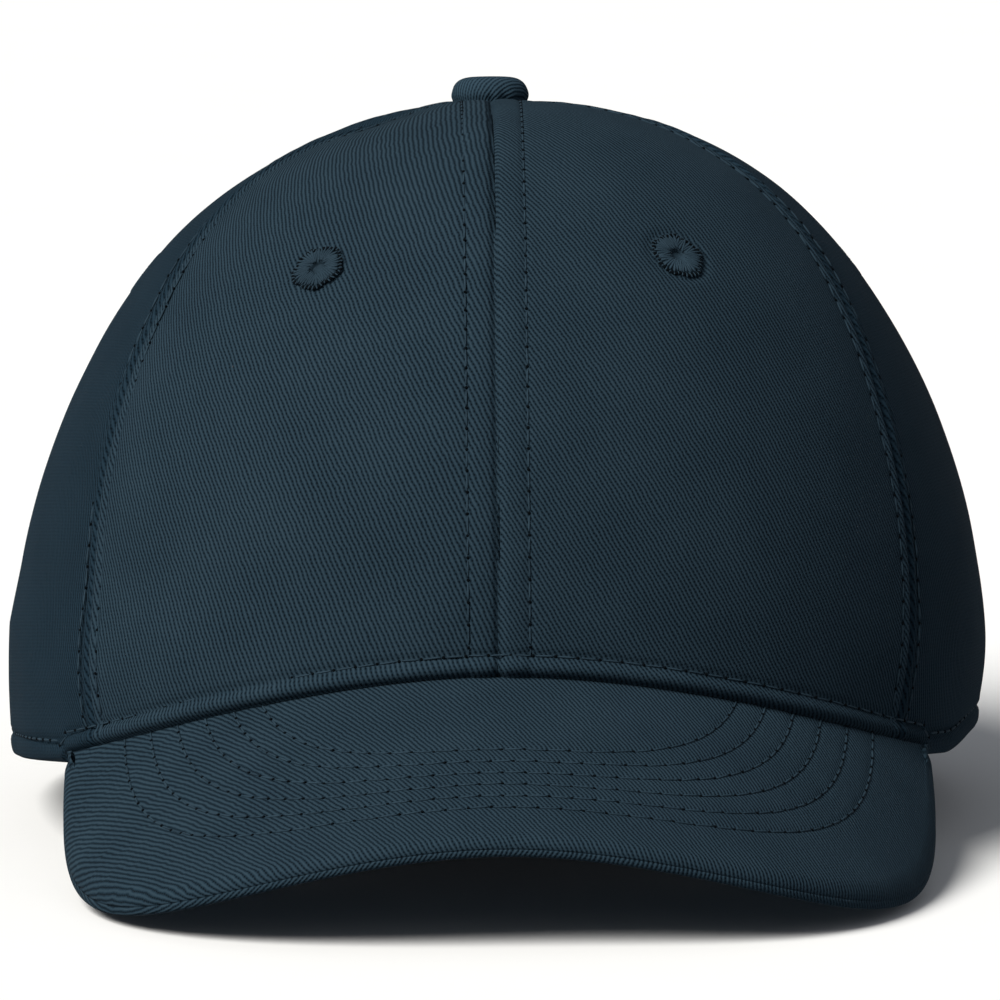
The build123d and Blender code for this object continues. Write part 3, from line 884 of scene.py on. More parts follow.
class StitchWork:
    """Geometry Nodes tree that lays stitches along paths."""

    INPUTS = ("Pitch", "Length", "Radius", "Turn", "Jitter", "Hole")
    MATERIALS = ("Material", "Hole Shade Material")
    STRETCH = 1.6
    PIT_DEPTH = 0.6
    NO_HOLE = 1e-6

    def __init__(self, placement: Placement) -> None:
        """Build the tree once.

        Args:
            placement: Puts the paths in the frame.
        """
        self.placement = placement
        self.tree = new_group("stitches along a path", self.INPUTS, self.MATERIALS)
        self._fill()

    def _fill(self) -> None:
        """Add the nodes: points along each path, a stitch on each, and between them a near-black pit of painted
        needle hole shade.
        """
        tree = self.tree
        given = add_node(tree, "NodeGroupInput").outputs
        curve = add_node(tree, "GeometryNodeMeshToCurve", {0: given["Geometry"]}).outputs[0]
        spacing = {"Curve": curve, "Length": given["Pitch"]}
        dots = add_node(tree, "GeometryNodeCurveToPoints", spacing, mode="LENGTH").outputs
        carried = {"Name": "cloth_normal"}
        attribute = add_node(tree, "GeometryNodeInputNamedAttribute", carried, data_type="FLOAT_VECTOR")
        align, tangent = "FunctionNodeAlignRotationToVector", dots["Tangent"]
        ahead = add_node(tree, align, {"Vector": tangent}, axis="X").outputs[0]
        stand = {"Rotation": ahead, "Vector": attribute.outputs[0]}
        upright = add_node(tree, align, stand, axis="Z", pivot_axis="X").outputs[0]
        low = compute(tree, "MULTIPLY", given["Jitter"], -1.0)
        draw = {2: low, 3: given["Jitter"], "Seed": given["Seed"]}
        stray = add_node(tree, "FunctionNodeRandomValue", draw).outputs[1]
        lie = spun(tree, upright, compute(tree, "ADD", stray, given["Turn"]))
        change = compute(tree, "MULTIPLY_ADD", stray, self.STRETCH, 1.0)
        half = compute(tree, "MULTIPLY", given["Length"], 0.5)
        long = compute(tree, "MULTIPLY", half, change)
        lengths = {"X": long, "Y": given["Radius"], "Z": given["Radius"]}
        size = add_node(tree, "ShaderNodeCombineXYZ", lengths).outputs[0]
        ball = {"Segments": 8, "Rings": 6, "Radius": 1.0}
        bead = add_node(tree, "GeometryNodeMeshUVSphere", ball).outputs["Mesh"]
        points = dots["Points"]
        threads = placed_copies(
            tree, given["Material"], Points=points, Instance=bead, Rotation=lie, Scale=size
        )
        step = {0: tangent, "Scale": compute(tree, "MULTIPLY", given["Pitch"], 0.5)}
        shift = add_node(tree, "ShaderNodeVectorMath", step, operation="SCALE").outputs[0]
        moved = {"Geometry": points, "Offset": shift}
        between = add_node(tree, "GeometryNodeSetPosition", moved).outputs[0]
        # The pits carry the near-black hole material: painted shade of the needle holes, laid between the
        # stitches.
        pierced = {0: given["Hole"], 1: self.NO_HOLE}
        holed = add_node(tree, "FunctionNodeCompare", pierced, operation="GREATER_THAN").outputs[0]
        flat = compute(tree, "MULTIPLY", given["Hole"], self.PIT_DEPTH)
        hollow = {"X": given["Hole"], "Y": given["Hole"], "Z": flat}
        pit = add_node(tree, "ShaderNodeCombineXYZ", hollow).outputs[0]
        pits = {"Points": between, "Selection": holed, "Instance": bead, "Rotation": upright, "Scale": pit}
        both = tree.nodes.new("GeometryNodeJoinGeometry")
        for part in (threads, placed_copies(tree, given["Hole Shade Material"], **pits)):
            tree.links.new(part, both.inputs[0])
        add_node(tree, "NodeGroupOutput", {0: both.outputs[0]})

    def _lines(self, name: str, paths: Sequence[Path]) -> bpy.types.Object:
        """Mesh of plain edges along the paths, carrying the cloth's normals."""
        points, normals, edges, start = [], [], [], 0
        for path in paths:
            count = len(path.points)
            points.append(self.placement.place(path.points))
            normals.append(self.placement.aim(path.normals))
            edges += [(start + i, start + i + 1) for i in range(count - 1)]
            if path.closed:
                edges.append((start + count - 1, start))
            start += count
        mesh = bpy.data.meshes.new(name)
        mesh.from_pydata(np.vstack(points).tolist(), edges, [])
        carried = mesh.attributes.new("cloth_normal", "FLOAT_VECTOR", "POINT")
        carried.data.foreach_set("vector", np.vstack(normals).astype(np.float32).ravel())
        return make_object(name, mesh)

    def lay(self, name: str, paths: Sequence[Path], kind: StitchKind, finish: Finishes) -> bpy.types.Object:
        """Lay stitches and turn them into a plain mesh.

        Args:
            name: Name of the piece.
            paths: Lines to follow.
            kind: Sizes of the stitches.
            finish: Materials of the cap.

        Returns:
            The stitches as one object.
        """
        values = {
            "Pitch": kind.pitch * MM,
            "Length": kind.length * MM,
            "Radius": kind.radius * MM,
            "Turn": math.radians(kind.turn),
            "Jitter": kind.jitter,
            "Seed": kind.seed,
            "Hole": kind.hole * MM,
            "Material": finish.thread,
            "Hole Shade Material": finish.hole,
        }
        laid = grow(name, self._lines(name, paths), self.tree, values)
        shade_smooth(laid.data)
        return laid


@dataclass(frozen=True)
class PileKind:
    """Hooks or loops that stand on a patch, in millimetres."""

    per_square: float
    radius: float
    sweep: float
    wire: float
    seed: int


HOOKS = PileKind(per_square=0.75, radius=0.42, sweep=250.0, wire=0.09, seed=3)
LOOPS = PileKind(per_square=1.5, radius=0.40, sweep=190.0, wire=0.05, seed=5)


class PileWork:
    """Geometry Nodes tree that stands small bent wires on a patch."""

    ARC_POINTS = 7
    WIRE_SIDES = 4

    def __init__(self) -> None:
        """Build the tree once."""
        self.tree = new_group("wires on a patch", ("Density", "Radius", "Sweep", "Wire"), ("Material",))
        self._fill()

    def _fill(self) -> None:
        """Add the nodes: scattered points, a bent wire on each, made real."""
        tree = self.tree
        given = add_node(tree, "NodeGroupInput").outputs
        sown = {"Mesh": given["Geometry"], "Density": given["Density"], "Seed": given["Seed"]}
        dots = add_node(tree, "GeometryNodeDistributePointsOnFaces", sown).outputs
        bend = {"Resolution": self.ARC_POINTS, "Radius": given["Radius"], "Sweep Angle": given["Sweep"]}
        arc = add_node(tree, "GeometryNodeCurveArc", bend).outputs["Curve"]
        gauge = {"Resolution": self.WIRE_SIDES, "Radius": given["Wire"]}
        ring = add_node(tree, "GeometryNodeCurvePrimitiveCircle", gauge).outputs["Curve"]
        wire = add_node(tree, "GeometryNodeCurveToMesh", {"Curve": arc, "Profile Curve": ring}).outputs[0]
        raised = {"Geometry": wire, "Rotation": (math.pi / 2, 0, 0)}
        stood = add_node(tree, "GeometryNodeTransform", raised).outputs[0]
        draw = {2: 0.0, 3: math.tau, "Seed": given["Seed"]}
        twist = add_node(tree, "FunctionNodeRandomValue", draw).outputs[1]
        lie = spun(tree, dots["Rotation"], twist)
        worn = placed_copies(tree, given["Material"], Points=dots["Points"], Instance=stood, Rotation=lie)
        add_node(tree, "NodeGroupOutput", {0: worn})

    def stand(
        self, name: str, patch: bpy.types.Object, kind: PileKind, finish: bpy.types.Material
    ) -> bpy.types.Object:
        """Stand wires on a patch and turn them into a plain mesh.

        Args:
            name: Name of the piece.
            patch: Surface that carries them.
            kind: Sizes of the wires.
            finish: Material of the wires.

        Returns:
            The wires as one object.
        """
        values = {
            "Density": kind.per_square / MM**2,
            "Radius": kind.radius * MM,
            "Sweep": math.radians(kind.sweep),
            "Wire": kind.wire * MM,
            "Seed": kind.seed,
            "Material": finish,
        }
        return grow(name, make_object(name + "_carrier", patch.data), self.tree, values)


@dataclass
class Workshop:
    """What every sub-assembly needs to make its pieces."""

    place: Placement
    finish: Finishes
    stitch: StitchWork
    pile: PileWork
    crown: CrownForm
    peak: PeakForm
    floor_gap: float = 0.0002

    @classmethod
    def open(cls) -> "Workshop":
        """Set the workshop up."""
        place = Placement()
        crown = CrownForm()
        return cls(place, Finishes(), StitchWork(place), PileWork(), crown, PeakForm(crown))

    def sheet(
        self, name: str, points: Array, normals: Array, uv: Array, keep: Optional[Array] = None
    ) -> bpy.types.Object:
        """Make an open sheet from worn points, its faces turned to its normals.

        Args:
            name: Name of the piece.
            points: Grid of worn points, in millimetres.
            normals: The sheet's normals.
            uv: Pattern coordinates in millimetres.
            keep: Mask of faces to keep.

        Returns:
            The piece.
        """
        flip = outward(points, normals)
        placed = self.place.place(points)
        placed[..., 2] = np.maximum(placed[..., 2], self.floor_gap)
        return grid_object(name, placed, uv * MM, keep=keep, flip=flip)

    def sew(self, name: str, paths: Sequence[Path], kind: StitchKind, body: Body) -> None:
        """Lay stitches along paths and fix them to a body.

        Args:
            name: Name of the piece.
            paths: Lines to follow.
            kind: Sizes of the stitches.
            body: Body that carries them.
        """
        rows = self.stitch.lay(name, paths, kind, self.finish)
        settle(rows, body)

    def tube(self, name: str, rings: Array) -> bpy.types.Object:
        """Make a closed skin from rings of worn points; the end rings are closed with faces.

        Args:
            name: Name of the piece.
            rings: Array of rings along the piece, each with the points round it.

        Returns:
            The piece, with its normals outwards.
        """
        around = np.swapaxes(rings, 0, 1)
        uv = spread(around)[..., ::-1] * MM
        piece = grid_object(name, self.place.place(around), uv, wrap=True)
        close_ends(piece)
        return piece


def close_ends(piece: bpy.types.Object) -> None:
    """Close a piece's open borders, merge its doubles and turn its normals outwards."""
    shape = bmesh.new()
    shape.from_mesh(piece.data)
    bmesh.ops.remove_doubles(shape, verts=shape.verts, dist=1e-7)
    open_edges = [edge for edge in shape.edges if edge.is_boundary]
    bmesh.ops.holes_fill(shape, edges=open_edges, sides=0)
    bmesh.ops.recalc_face_normals(shape, faces=shape.faces)
    shape.to_mesh(piece.data)
    shape.free()


def join(name: str, pieces: Sequence[bpy.types.Object]) -> bpy.types.Object:
    """Join pieces of one kind into one object."""
    if len(pieces) > 1:
        with bpy.context.temp_override(active_object=pieces[0], selected_editable_objects=list(pieces)):
            bpy.ops.object.join()
    pieces[0].name = name
    pieces[0].data.name = name
    return pieces[0]


# ---------------------------------------------------------------- crown


@dataclass(frozen=True)
class PanelSpec:
    """One cloth panel: its two seams, how far its topstitching is from each, and its cloth."""

    node: str
    start: Seam
    end: Seam
    rows: tuple[float, float]
    finish: str
    mirrored: bool
    seed: float


# Radius and rise of an eyelet's padded ring, from inside the hole out to the cloth.
COLLAR = ((1.3, -1.2), (1.25, 0.0), (1.6, 0.3), (2.5, 0.5), (3.5, 0.42), (4.1, 0.2), (4.5, -0.4))
SATIN = StitchKind(pitch=0.42, length=3.3, radius=0.26, turn=90.0, jitter=0.12, seed=21, hole=0.0)
BITE = StitchKind(pitch=0.85, length=1.1, radius=0.18, turn=90.0, jitter=0.3, seed=22, hole=0.36)


@dataclass
class Crown:
    """Six twill panels with their seams, topstitching, hem, eyelets and inside tapes."""

    shop: Workshop
    across: int = 116
    along: int = 190
    cloth: float = 0.9
    overlap: float = 1.006
    side_row: float = 3.0
    centre_row: float = 5.4
    hem: float = 3.5
    eyelet_level: float = 90.0
    eyelet_angles: tuple[float, ...] = (22.0, 92.0, 152.0)
    side_slump: float = 2.2
    shoulder_slump: float = 0.4
    slump_heights: tuple[float, float] = (12.0, 36.0)
    slump_flank: tuple[float, float] = (55.0, 75.0)
    slump_fade: tuple[float, float] = (122.0, 98.0)
    shoulder_heights: tuple[float, float] = (66.0, 92.0)
    slump_from_seam: float = 26.0
    slump_from_button: tuple[float, float] = (7.0, 23.0)
    hem_tuck: float = 1.3
    tuck_heights: tuple[float, float] = (22.0, 2.0)
    tuck_aside: tuple[float, float] = (55.0, 80.0)
    hem_flat: float = 0.15
    hem_full: tuple[float, float] = (62.0, 40.0)
    thread_lift: float = 0.10
    hem_thread_lift: float = 0.22
    turn_levels: tuple[float, float] = (55.0, 85.0)
    turn_slope: float = 0.445
    hem_roll: float = 1.25
    hem_turn_in: float = 0.75
    row_dip: float = 0.42
    seam_dip: float = 0.95
    seam_swell: float = 0.30
    stitch_dip: float = 0.24
    pucker: float = 0.16
    hem_pucker: float = 0.12
    pucker_size: float = 3.4
    creases: tuple[tuple[float, float, float], ...] = ((42.0, 0.60, 5), (13.0, 0.14, 9))
    eyelet_dip: float = 0.45
    eyelet_hole: float = 1.9
    stand_off: float = 0.15
    tape_width: float = 11.0
    lining_depth: float = 1.4

    def specs(self) -> list[PanelSpec]:
        """The six panels."""
        centre, side = self.centre_row, self.side_row
        kinds = (
            ("front", FRONT_CENTRE, FRONT_SIDE, (centre, side), "front_"),
            ("side", FRONT_SIDE, REAR_SIDE, (side, side), "side"),
            ("rear", REAR_SIDE, REAR_CENTRE, (side, centre), "side"),
        )
        made = []
        for hand, mirrored in (("right", False), ("left", True)):
            for number, (name, start, end, rows, finish) in enumerate(kinds):
                finish = finish + hand if finish == "front_" else finish
                seed = 3.1 * number + 11 * mirrored
                made.append(PanelSpec(f"{name}_panel_{hand}", start, end, rows, finish, mirrored, seed))
        return made

    def relief(self, points: Array, seams: Sequence[tuple[Seam, float]], seed: float) -> Array:
        """How far the cloth stands out of the plain form.

        Args:
            points: Points of the form, on the +X side.
            seams: Seams near them, with the distance of their topstitching.
            seed: Changes the creases.

        Returns:
            Millimetres outwards.
        """
        angle = np.degrees(np.arctan2(points[..., 0], -points[..., 1]))
        rise = points[..., 2] - rim_height(self.shop.peak, angle, drop=0.0)
        fullness = self.hem_flat + (1 - self.hem_flat) * between(np.abs(angle), *self.hem_full)
        up_hem = np.clip(rise / self.hem, 0, 1)
        rolled = self.hem_roll * np.sin(np.pi * up_hem**0.85) ** 0.75
        out = (rolled - self.hem_turn_in * (1 - up_hem) ** 3) * fullness
        out -= self.row_dip * bell(rise - self.hem - 0.35, 0.65)
        fine = ripple(points * (1, 1, 1.4), self.pucker_size, seed)
        gather = np.clip((np.hypot(points[..., 0], points[..., 1]) - 6) / 9, 0, 1)
        for seam, row in seams:
            away = np.abs(self.shop.crown.from_seam(points, seam))
            stitched = -self.seam_dip * bell(away, 0.6)
            stitched += self.seam_swell * bell(away - 0.5 * row, 0.42 * row)
            stitched += -self.stitch_dip * bell(away - row, 0.5)
            stitched += self.pucker * fine * bell(away - row, 2.2)
            out += stitched * gather
        out += self.hem_pucker * fine * bell(rise - self.hem, 2.0)
        for size, depth, offset in self.creases:
            out += depth * ripple(points, size, seed + offset)
        for centre, _, _ in self.eyelet_spots():
            out += -self.eyelet_dip * bell(np.linalg.norm(points - centre, axis=-1) - 5.3, 0.8)
        return out + self.stand_off

    def sag(self, points: Array, left: bool) -> Array:
        """How far the cloth has sunk in from the plain form.

        Args:
            points: Points of the form, on the +X side.
            left: Whether they stand for the left side, whose shoulder has sunk.

        Returns:
            Millimetres outwards, so never above nothing.
        """
        height = points[..., 2]
        angle = np.degrees(np.arctan2(points[..., 0], -points[..., 1]))
        if left:
            low = 0.5 * between(angle, *self.slump_flank)
            full = np.maximum(between(height, *self.slump_heights), low)
            sunk = self.side_slump * full + self.shoulder_slump * between(height, *self.shoulder_heights)
            sunk = sunk * between(angle, *self.slump_fade)
        else:
            tucked = between(height, *self.tuck_heights) * between(points[..., 0], *self.tuck_aside)
            sunk = self.hem_tuck * tucked
        aside = between(np.abs(points[..., 0]), 0.0, self.slump_from_seam)
        reach = np.hypot(points[..., 0], points[..., 1])
        return -sunk * aside * between(reach, *self.slump_from_button)

    def straighten(self, climb: Array) -> Array:
        """Sideways shift of the ribs that turns them upright towards the button.

        Args:
            climb: Millimetres up the panel.

        Returns:
            Millimetres along the cloth.
        """
        start, span = self.turn_levels
        share = np.clip((climb - start) / span, 0, 1)
        risen = span * (share**3 - share**4 / 2) + np.maximum(climb - start - span, 0)
        return self.turn_slope * risen

    def panel_grid(self, spec: PanelSpec) -> tuple[Array, Array]:
        """Plain points and normals of a panel on the +X side."""
        form = self.shop.crown
        share = np.linspace(0, 1, self.across)
        share = (share - 0.5 - 0.055 * np.sin(math.tau * share)) * self.overlap + 0.5
        top = spec.start.top + (spec.end.top - spec.start.top) * share
        rim = spec.start.rim + (spec.end.rim - spec.start.rim) * share
        low = form.lift(rim_height(self.shop.peak, rim))
        high = form.lift(form.height_at_radius(top, form.hole))
        lifts = low[:, None] + (high - low)[:, None] * np.linspace(0, 1, self.along)[None] ** 1.12
        height = form.height(lifts)
        points = form.on_seam(top[:, None], rim[:, None], height)
        return points, normals_of(points)

    def eyelet_spots(self) -> list[tuple[Array, Array, Array]]:
        """Centre, normal and level direction of the eyelets on the +X side."""
        form, spots = self.shop.crown, []
        for angle in self.eyelet_angles:
            centre = form.point(np.array(angle), np.array(self.eyelet_level))
            level = form.point(np.array(angle + 1), np.array(self.eyelet_level)) - centre
            rise = form.point(np.array(angle), np.array(self.eyelet_level + 1)) - centre
            spots.append((centre, unit(np.cross(level, rise)), unit(level)))
        return spots

    @staticmethod
    def in_arch(points: Array) -> Array:
        """Whether points lie in the back opening."""
        inside = (points[..., 0] / ARCH[0]) ** 2 + (points[..., 2] / ARCH[1]) ** 2 < 1
        return inside & (points[..., 1] > 0)

    def build_panel(self, spec: PanelSpec) -> None:
        """Make one panel, pierced for its eyelet and cut back over the opening."""
        points, normals = self.panel_grid(spec)
        seams = ((spec.start, spec.rows[0]), (spec.end, spec.rows[1]))
        relief = self.relief(points, seams, spec.seed) + self.sag(points, spec.mirrored)
        raised = points + normals * relief[..., None]
        if not spec.mirrored:
            raised[..., 2] += self.shop.crown.hitch(points)
        uv = spread(points)
        uv[..., 1] += points[:, :1, 2] - points[:1, :1, 2]
        if spec.finish == "front_left":
            uv[..., 0] += self.straighten(uv[..., 1])
        middles = (points[1:, 1:] + points[:-1, :-1]) / 2
        keep = ~self.in_arch(middles)
        for centre, _, _ in self.eyelet_spots():
            keep &= np.linalg.norm(middles - centre, axis=-1) > self.eyelet_hole
        if spec.mirrored:
            raised, normals = raised * (-1, 1, 1), normals * (-1, 1, 1)
            uv = uv * (-1, 1)
        piece = self.shop.sheet("twill_" + spec.node, raised, normals, uv, keep)
        thicken(piece, self.cloth)
        fit(piece, getattr(self.shop.finish, spec.finish), "cloth", Body.CROWN, spec.node)

    def seam_paths(self, seam: Seam, row: float, depth: Optional[float] = None) -> list[Path]:
        """Lines beside a seam on the +X side, on both sides of it where both exist."""
        form = self.shop.crown
        lowest = rim_height(self.shop.peak, np.array(float(seam.rim)), drop=0.0) + self.hem
        if seam is REAR_CENTRE:
            lowest = ARCH[1] + 2.0
        lifts = np.linspace(form.lift(lowest), form.lift(form.height_at_radius(seam.top, 9.0)), 150)
        paths = []
        for side in (-1.0, 1.0):
            points, normals = self.beside(seam, side * row, form.height(lifts), depth or 0.0)
            if points[75, 0] < 0:
                continue
            if depth is None:
                bulge = self.relief(points, ((seam, row),), 0.0)
                points = points + normals * (bulge + self.thread_lift)[..., None]
            else:
                normals = -normals
            paths.append(Path(points, normals))
        return paths

    def beside(self, seam: Seam, offset: float, height: Array, depth: float) -> tuple[Array, Array]:
        """Points and normals at a distance from a seam plane."""
        form = self.shop.crown
        top, rim = np.full(height.shape, float(seam.top)), np.full(height.shape, float(seam.rim))
        normal = form.seam_normal(top, rim)
        apex = np.array([0, 0, form.top])
        low, high = np.minimum(top, rim) - 50.0, np.maximum(top, rim) + 50.0

        def side(angle: Array) -> Array:
            """Which side of the shifted plane a point at this angle is on."""
            away = np.sum(normal * (form.point(angle, height, depth) - apex), -1)
            return away > offset

        low, _ = narrow(low, high, side)
        points = form.point(low, height, depth)
        turned = form.point(low + 0.5, height, depth) - points
        risen = form.point(low, height + 0.5, depth) - points
        return points, unit(np.cross(turned, risen))

    def on_cloth(self, path: Path, left: bool) -> Path:
        """A line of the +X side, sunk with the cloth of the side it is sewn on."""
        sunk = path.points + path.normals * self.sag(path.points, left)[..., None]
        if not left:
            sunk[..., 2] += self.shop.crown.hitch(path.points)
        flip = (-1, 1, 1) if left else (1, 1, 1)
        return Path(sunk * flip, path.normals * flip, path.closed)

    def build_topstitching(self) -> None:
        """Lay the rows beside the seams and round the hem."""
        rows = []
        for seams, row in (
            ((FRONT_SIDE, REAR_SIDE), self.side_row),
            ((FRONT_CENTRE, REAR_CENTRE), self.centre_row),
        ):
            rows += [path for seam in seams for path in self.seam_paths(seam, row)]
        sewn = [self.on_cloth(path, left) for path in rows for left in (False, True)]
        self.shop.sew("seam_topstitching", sewn, StitchKind(seed=11), Body.CROWN)
        angle = np.linspace(0, 151, 260)
        height = rim_height(self.shop.peak, angle, drop=0.0) + self.hem + 0.45
        points = self.shop.crown.point(angle, height)
        turned = self.shop.crown.point(angle + 0.3, height) - points
        risen = self.shop.crown.point(angle, height + 0.5) - points
        normals = unit(np.cross(turned, risen))
        out = self.relief(points, (), 0.0) + self.hem_thread_lift
        raised = points + normals * out[..., None]
        hems = [self.on_cloth(Path(raised, normals), left) for left in (False, True)]
        self.shop.sew("hem_topstitching", hems, StitchKind(seed=12), Body.CROWN)

    def build_eyelets(self) -> None:
        """Sew the six eyelets: a padded ring with satin stitches round it."""
        collars, paths, bites = [], [], []
        for mirror in (1.0, -1.0):
            for centre, normal, level in self.eyelet_spots():
                flip = np.array([mirror, 1, 1])
                sunk = self.sag(centre, mirror < 0)
                centre, normal, level = (centre + normal * sunk) * flip, normal * flip, level * flip
                up = np.cross(normal, level)
                turn = np.linspace(0, math.tau, 48, endpoint=False)
                spoke = np.cos(turn)[:, None] * level + np.sin(turn)[:, None] * up
                rings = [centre + spoke * radius + normal * rise for radius, rise in COLLAR]
                collars.append(self.shop.tube(f"collar_{len(collars)}", np.array(rings)))
                ragged = 1 + 0.05 * np.sin(turn * 5 + mirror) + 0.03 * np.sin(turn * 11)
                circle = centre + spoke * (2.95 * ragged)[:, None] + normal * 0.36
                paths.append(Path(circle, np.repeat(normal[None], 48, 0), closed=True))
                edge = centre + spoke * (4.6 * ragged)[:, None] + normal * 0.12
                bites.append(Path(edge, np.repeat(normal[None], 48, 0), closed=True))
        collar = join("eyelet_collars", collars)
        fit(collar, self.shop.finish.thread, "thread", Body.CROWN, "eyelets")
        self.shop.sew("eyelet_satin_stitches", paths, SATIN, Body.CROWN)
        self.shop.sew("eyelet_edge_stitches", bites, BITE, Body.CROWN)

    def build_tapes(self) -> None:
        """Cover the seams inside with woven tape."""
        sides = tuple((seam, mirror) for seam in (FRONT_SIDE, REAR_SIDE) for mirror in (1.0, -1.0))
        groups = {
            "seam_tape_front": ((FRONT_CENTRE, 1.0),),
            "seam_tape_rear": ((REAR_CENTRE, 1.0),),
            "seam_tapes_side": sides,
        }
        form = self.shop.crown
        for node, seams in groups.items():
            strips = []
            for seam, mirror in seams:
                lowest = float(rim_height(self.shop.peak, np.array(float(seam.rim))))
                lowest = ARCH[1] + 0.5 if seam is REAR_CENTRE else lowest
                highest = form.height_at_radius(float(seam.top), 13.0, 1.35)
                lifts = np.linspace(form.lift(lowest), form.lift(highest), 120)
                half = self.tape_width / 2
                columns = [
                    self.beside(seam, offset, form.height(lifts), self.lining_depth)
                    for offset in np.linspace(-half, half, 9)
                ]
                points, normals = (np.array(side) for side in zip(*columns))
                points = points + normals * self.sag(points, mirror < 0)[..., None]
                points, normals = points * (mirror, 1, 1), normals * (mirror, 1, 1)
                strips.append(self.shop.sheet(f"strip_{len(strips)}", points, normals, spread(points)))
            tape = join("woven_" + node, strips)
            thicken(tape, 0.4)
            fit(tape, self.shop.finish.tape, "tape", Body.CROWN, node)

    def build_stiffeners(self) -> None:
        """Back the front panels with stiff open mesh."""
        form = self.shop.crown
        for hand, mirror in (("right", 1.0), ("left", -1.0)):
            share = np.linspace(0.085, 0.93, 60)
            top, rim = FRONT_SIDE.top * share, FRONT_SIDE.rim * share
            low = form.lift(rim_height(self.shop.peak, rim) + 3)
            lifts = low[:, None] + (form.lift(104.0) - low)[:, None] * np.linspace(0, 1, 90)[None]
            points = form.on_seam(top[:, None], rim[:, None], form.height(lifts), self.lining_depth)
            points = points + normals_of(points) * self.sag(points, mirror < 0)[..., None]
            points = points * (mirror, 1, 1)
            middles = (points[1:, 1:] + points[:-1, :-1]) / 2
            centre = self.eyelet_spots()[0][0] * (mirror, 1, 1)
            keep = np.linalg.norm(middles - centre, axis=-1) > 3.2
            piece = self.shop.sheet(
                "mesh_stiffener_" + hand, points, normals_of(points), spread(points), keep
            )
            thicken(piece, 0.5)
            fit(piece, self.shop.finish.mesh, "mesh", Body.CROWN, "front_stiffener_" + hand)

    def build(self) -> None:
        """Make the whole crown."""
        for spec in self.specs():
            self.build_panel(spec)
        self.build_topstitching()
        self.build_eyelets()
        self.build_tapes()
        self.build_stiffeners()


# ---------------------------------------------------------------- peak


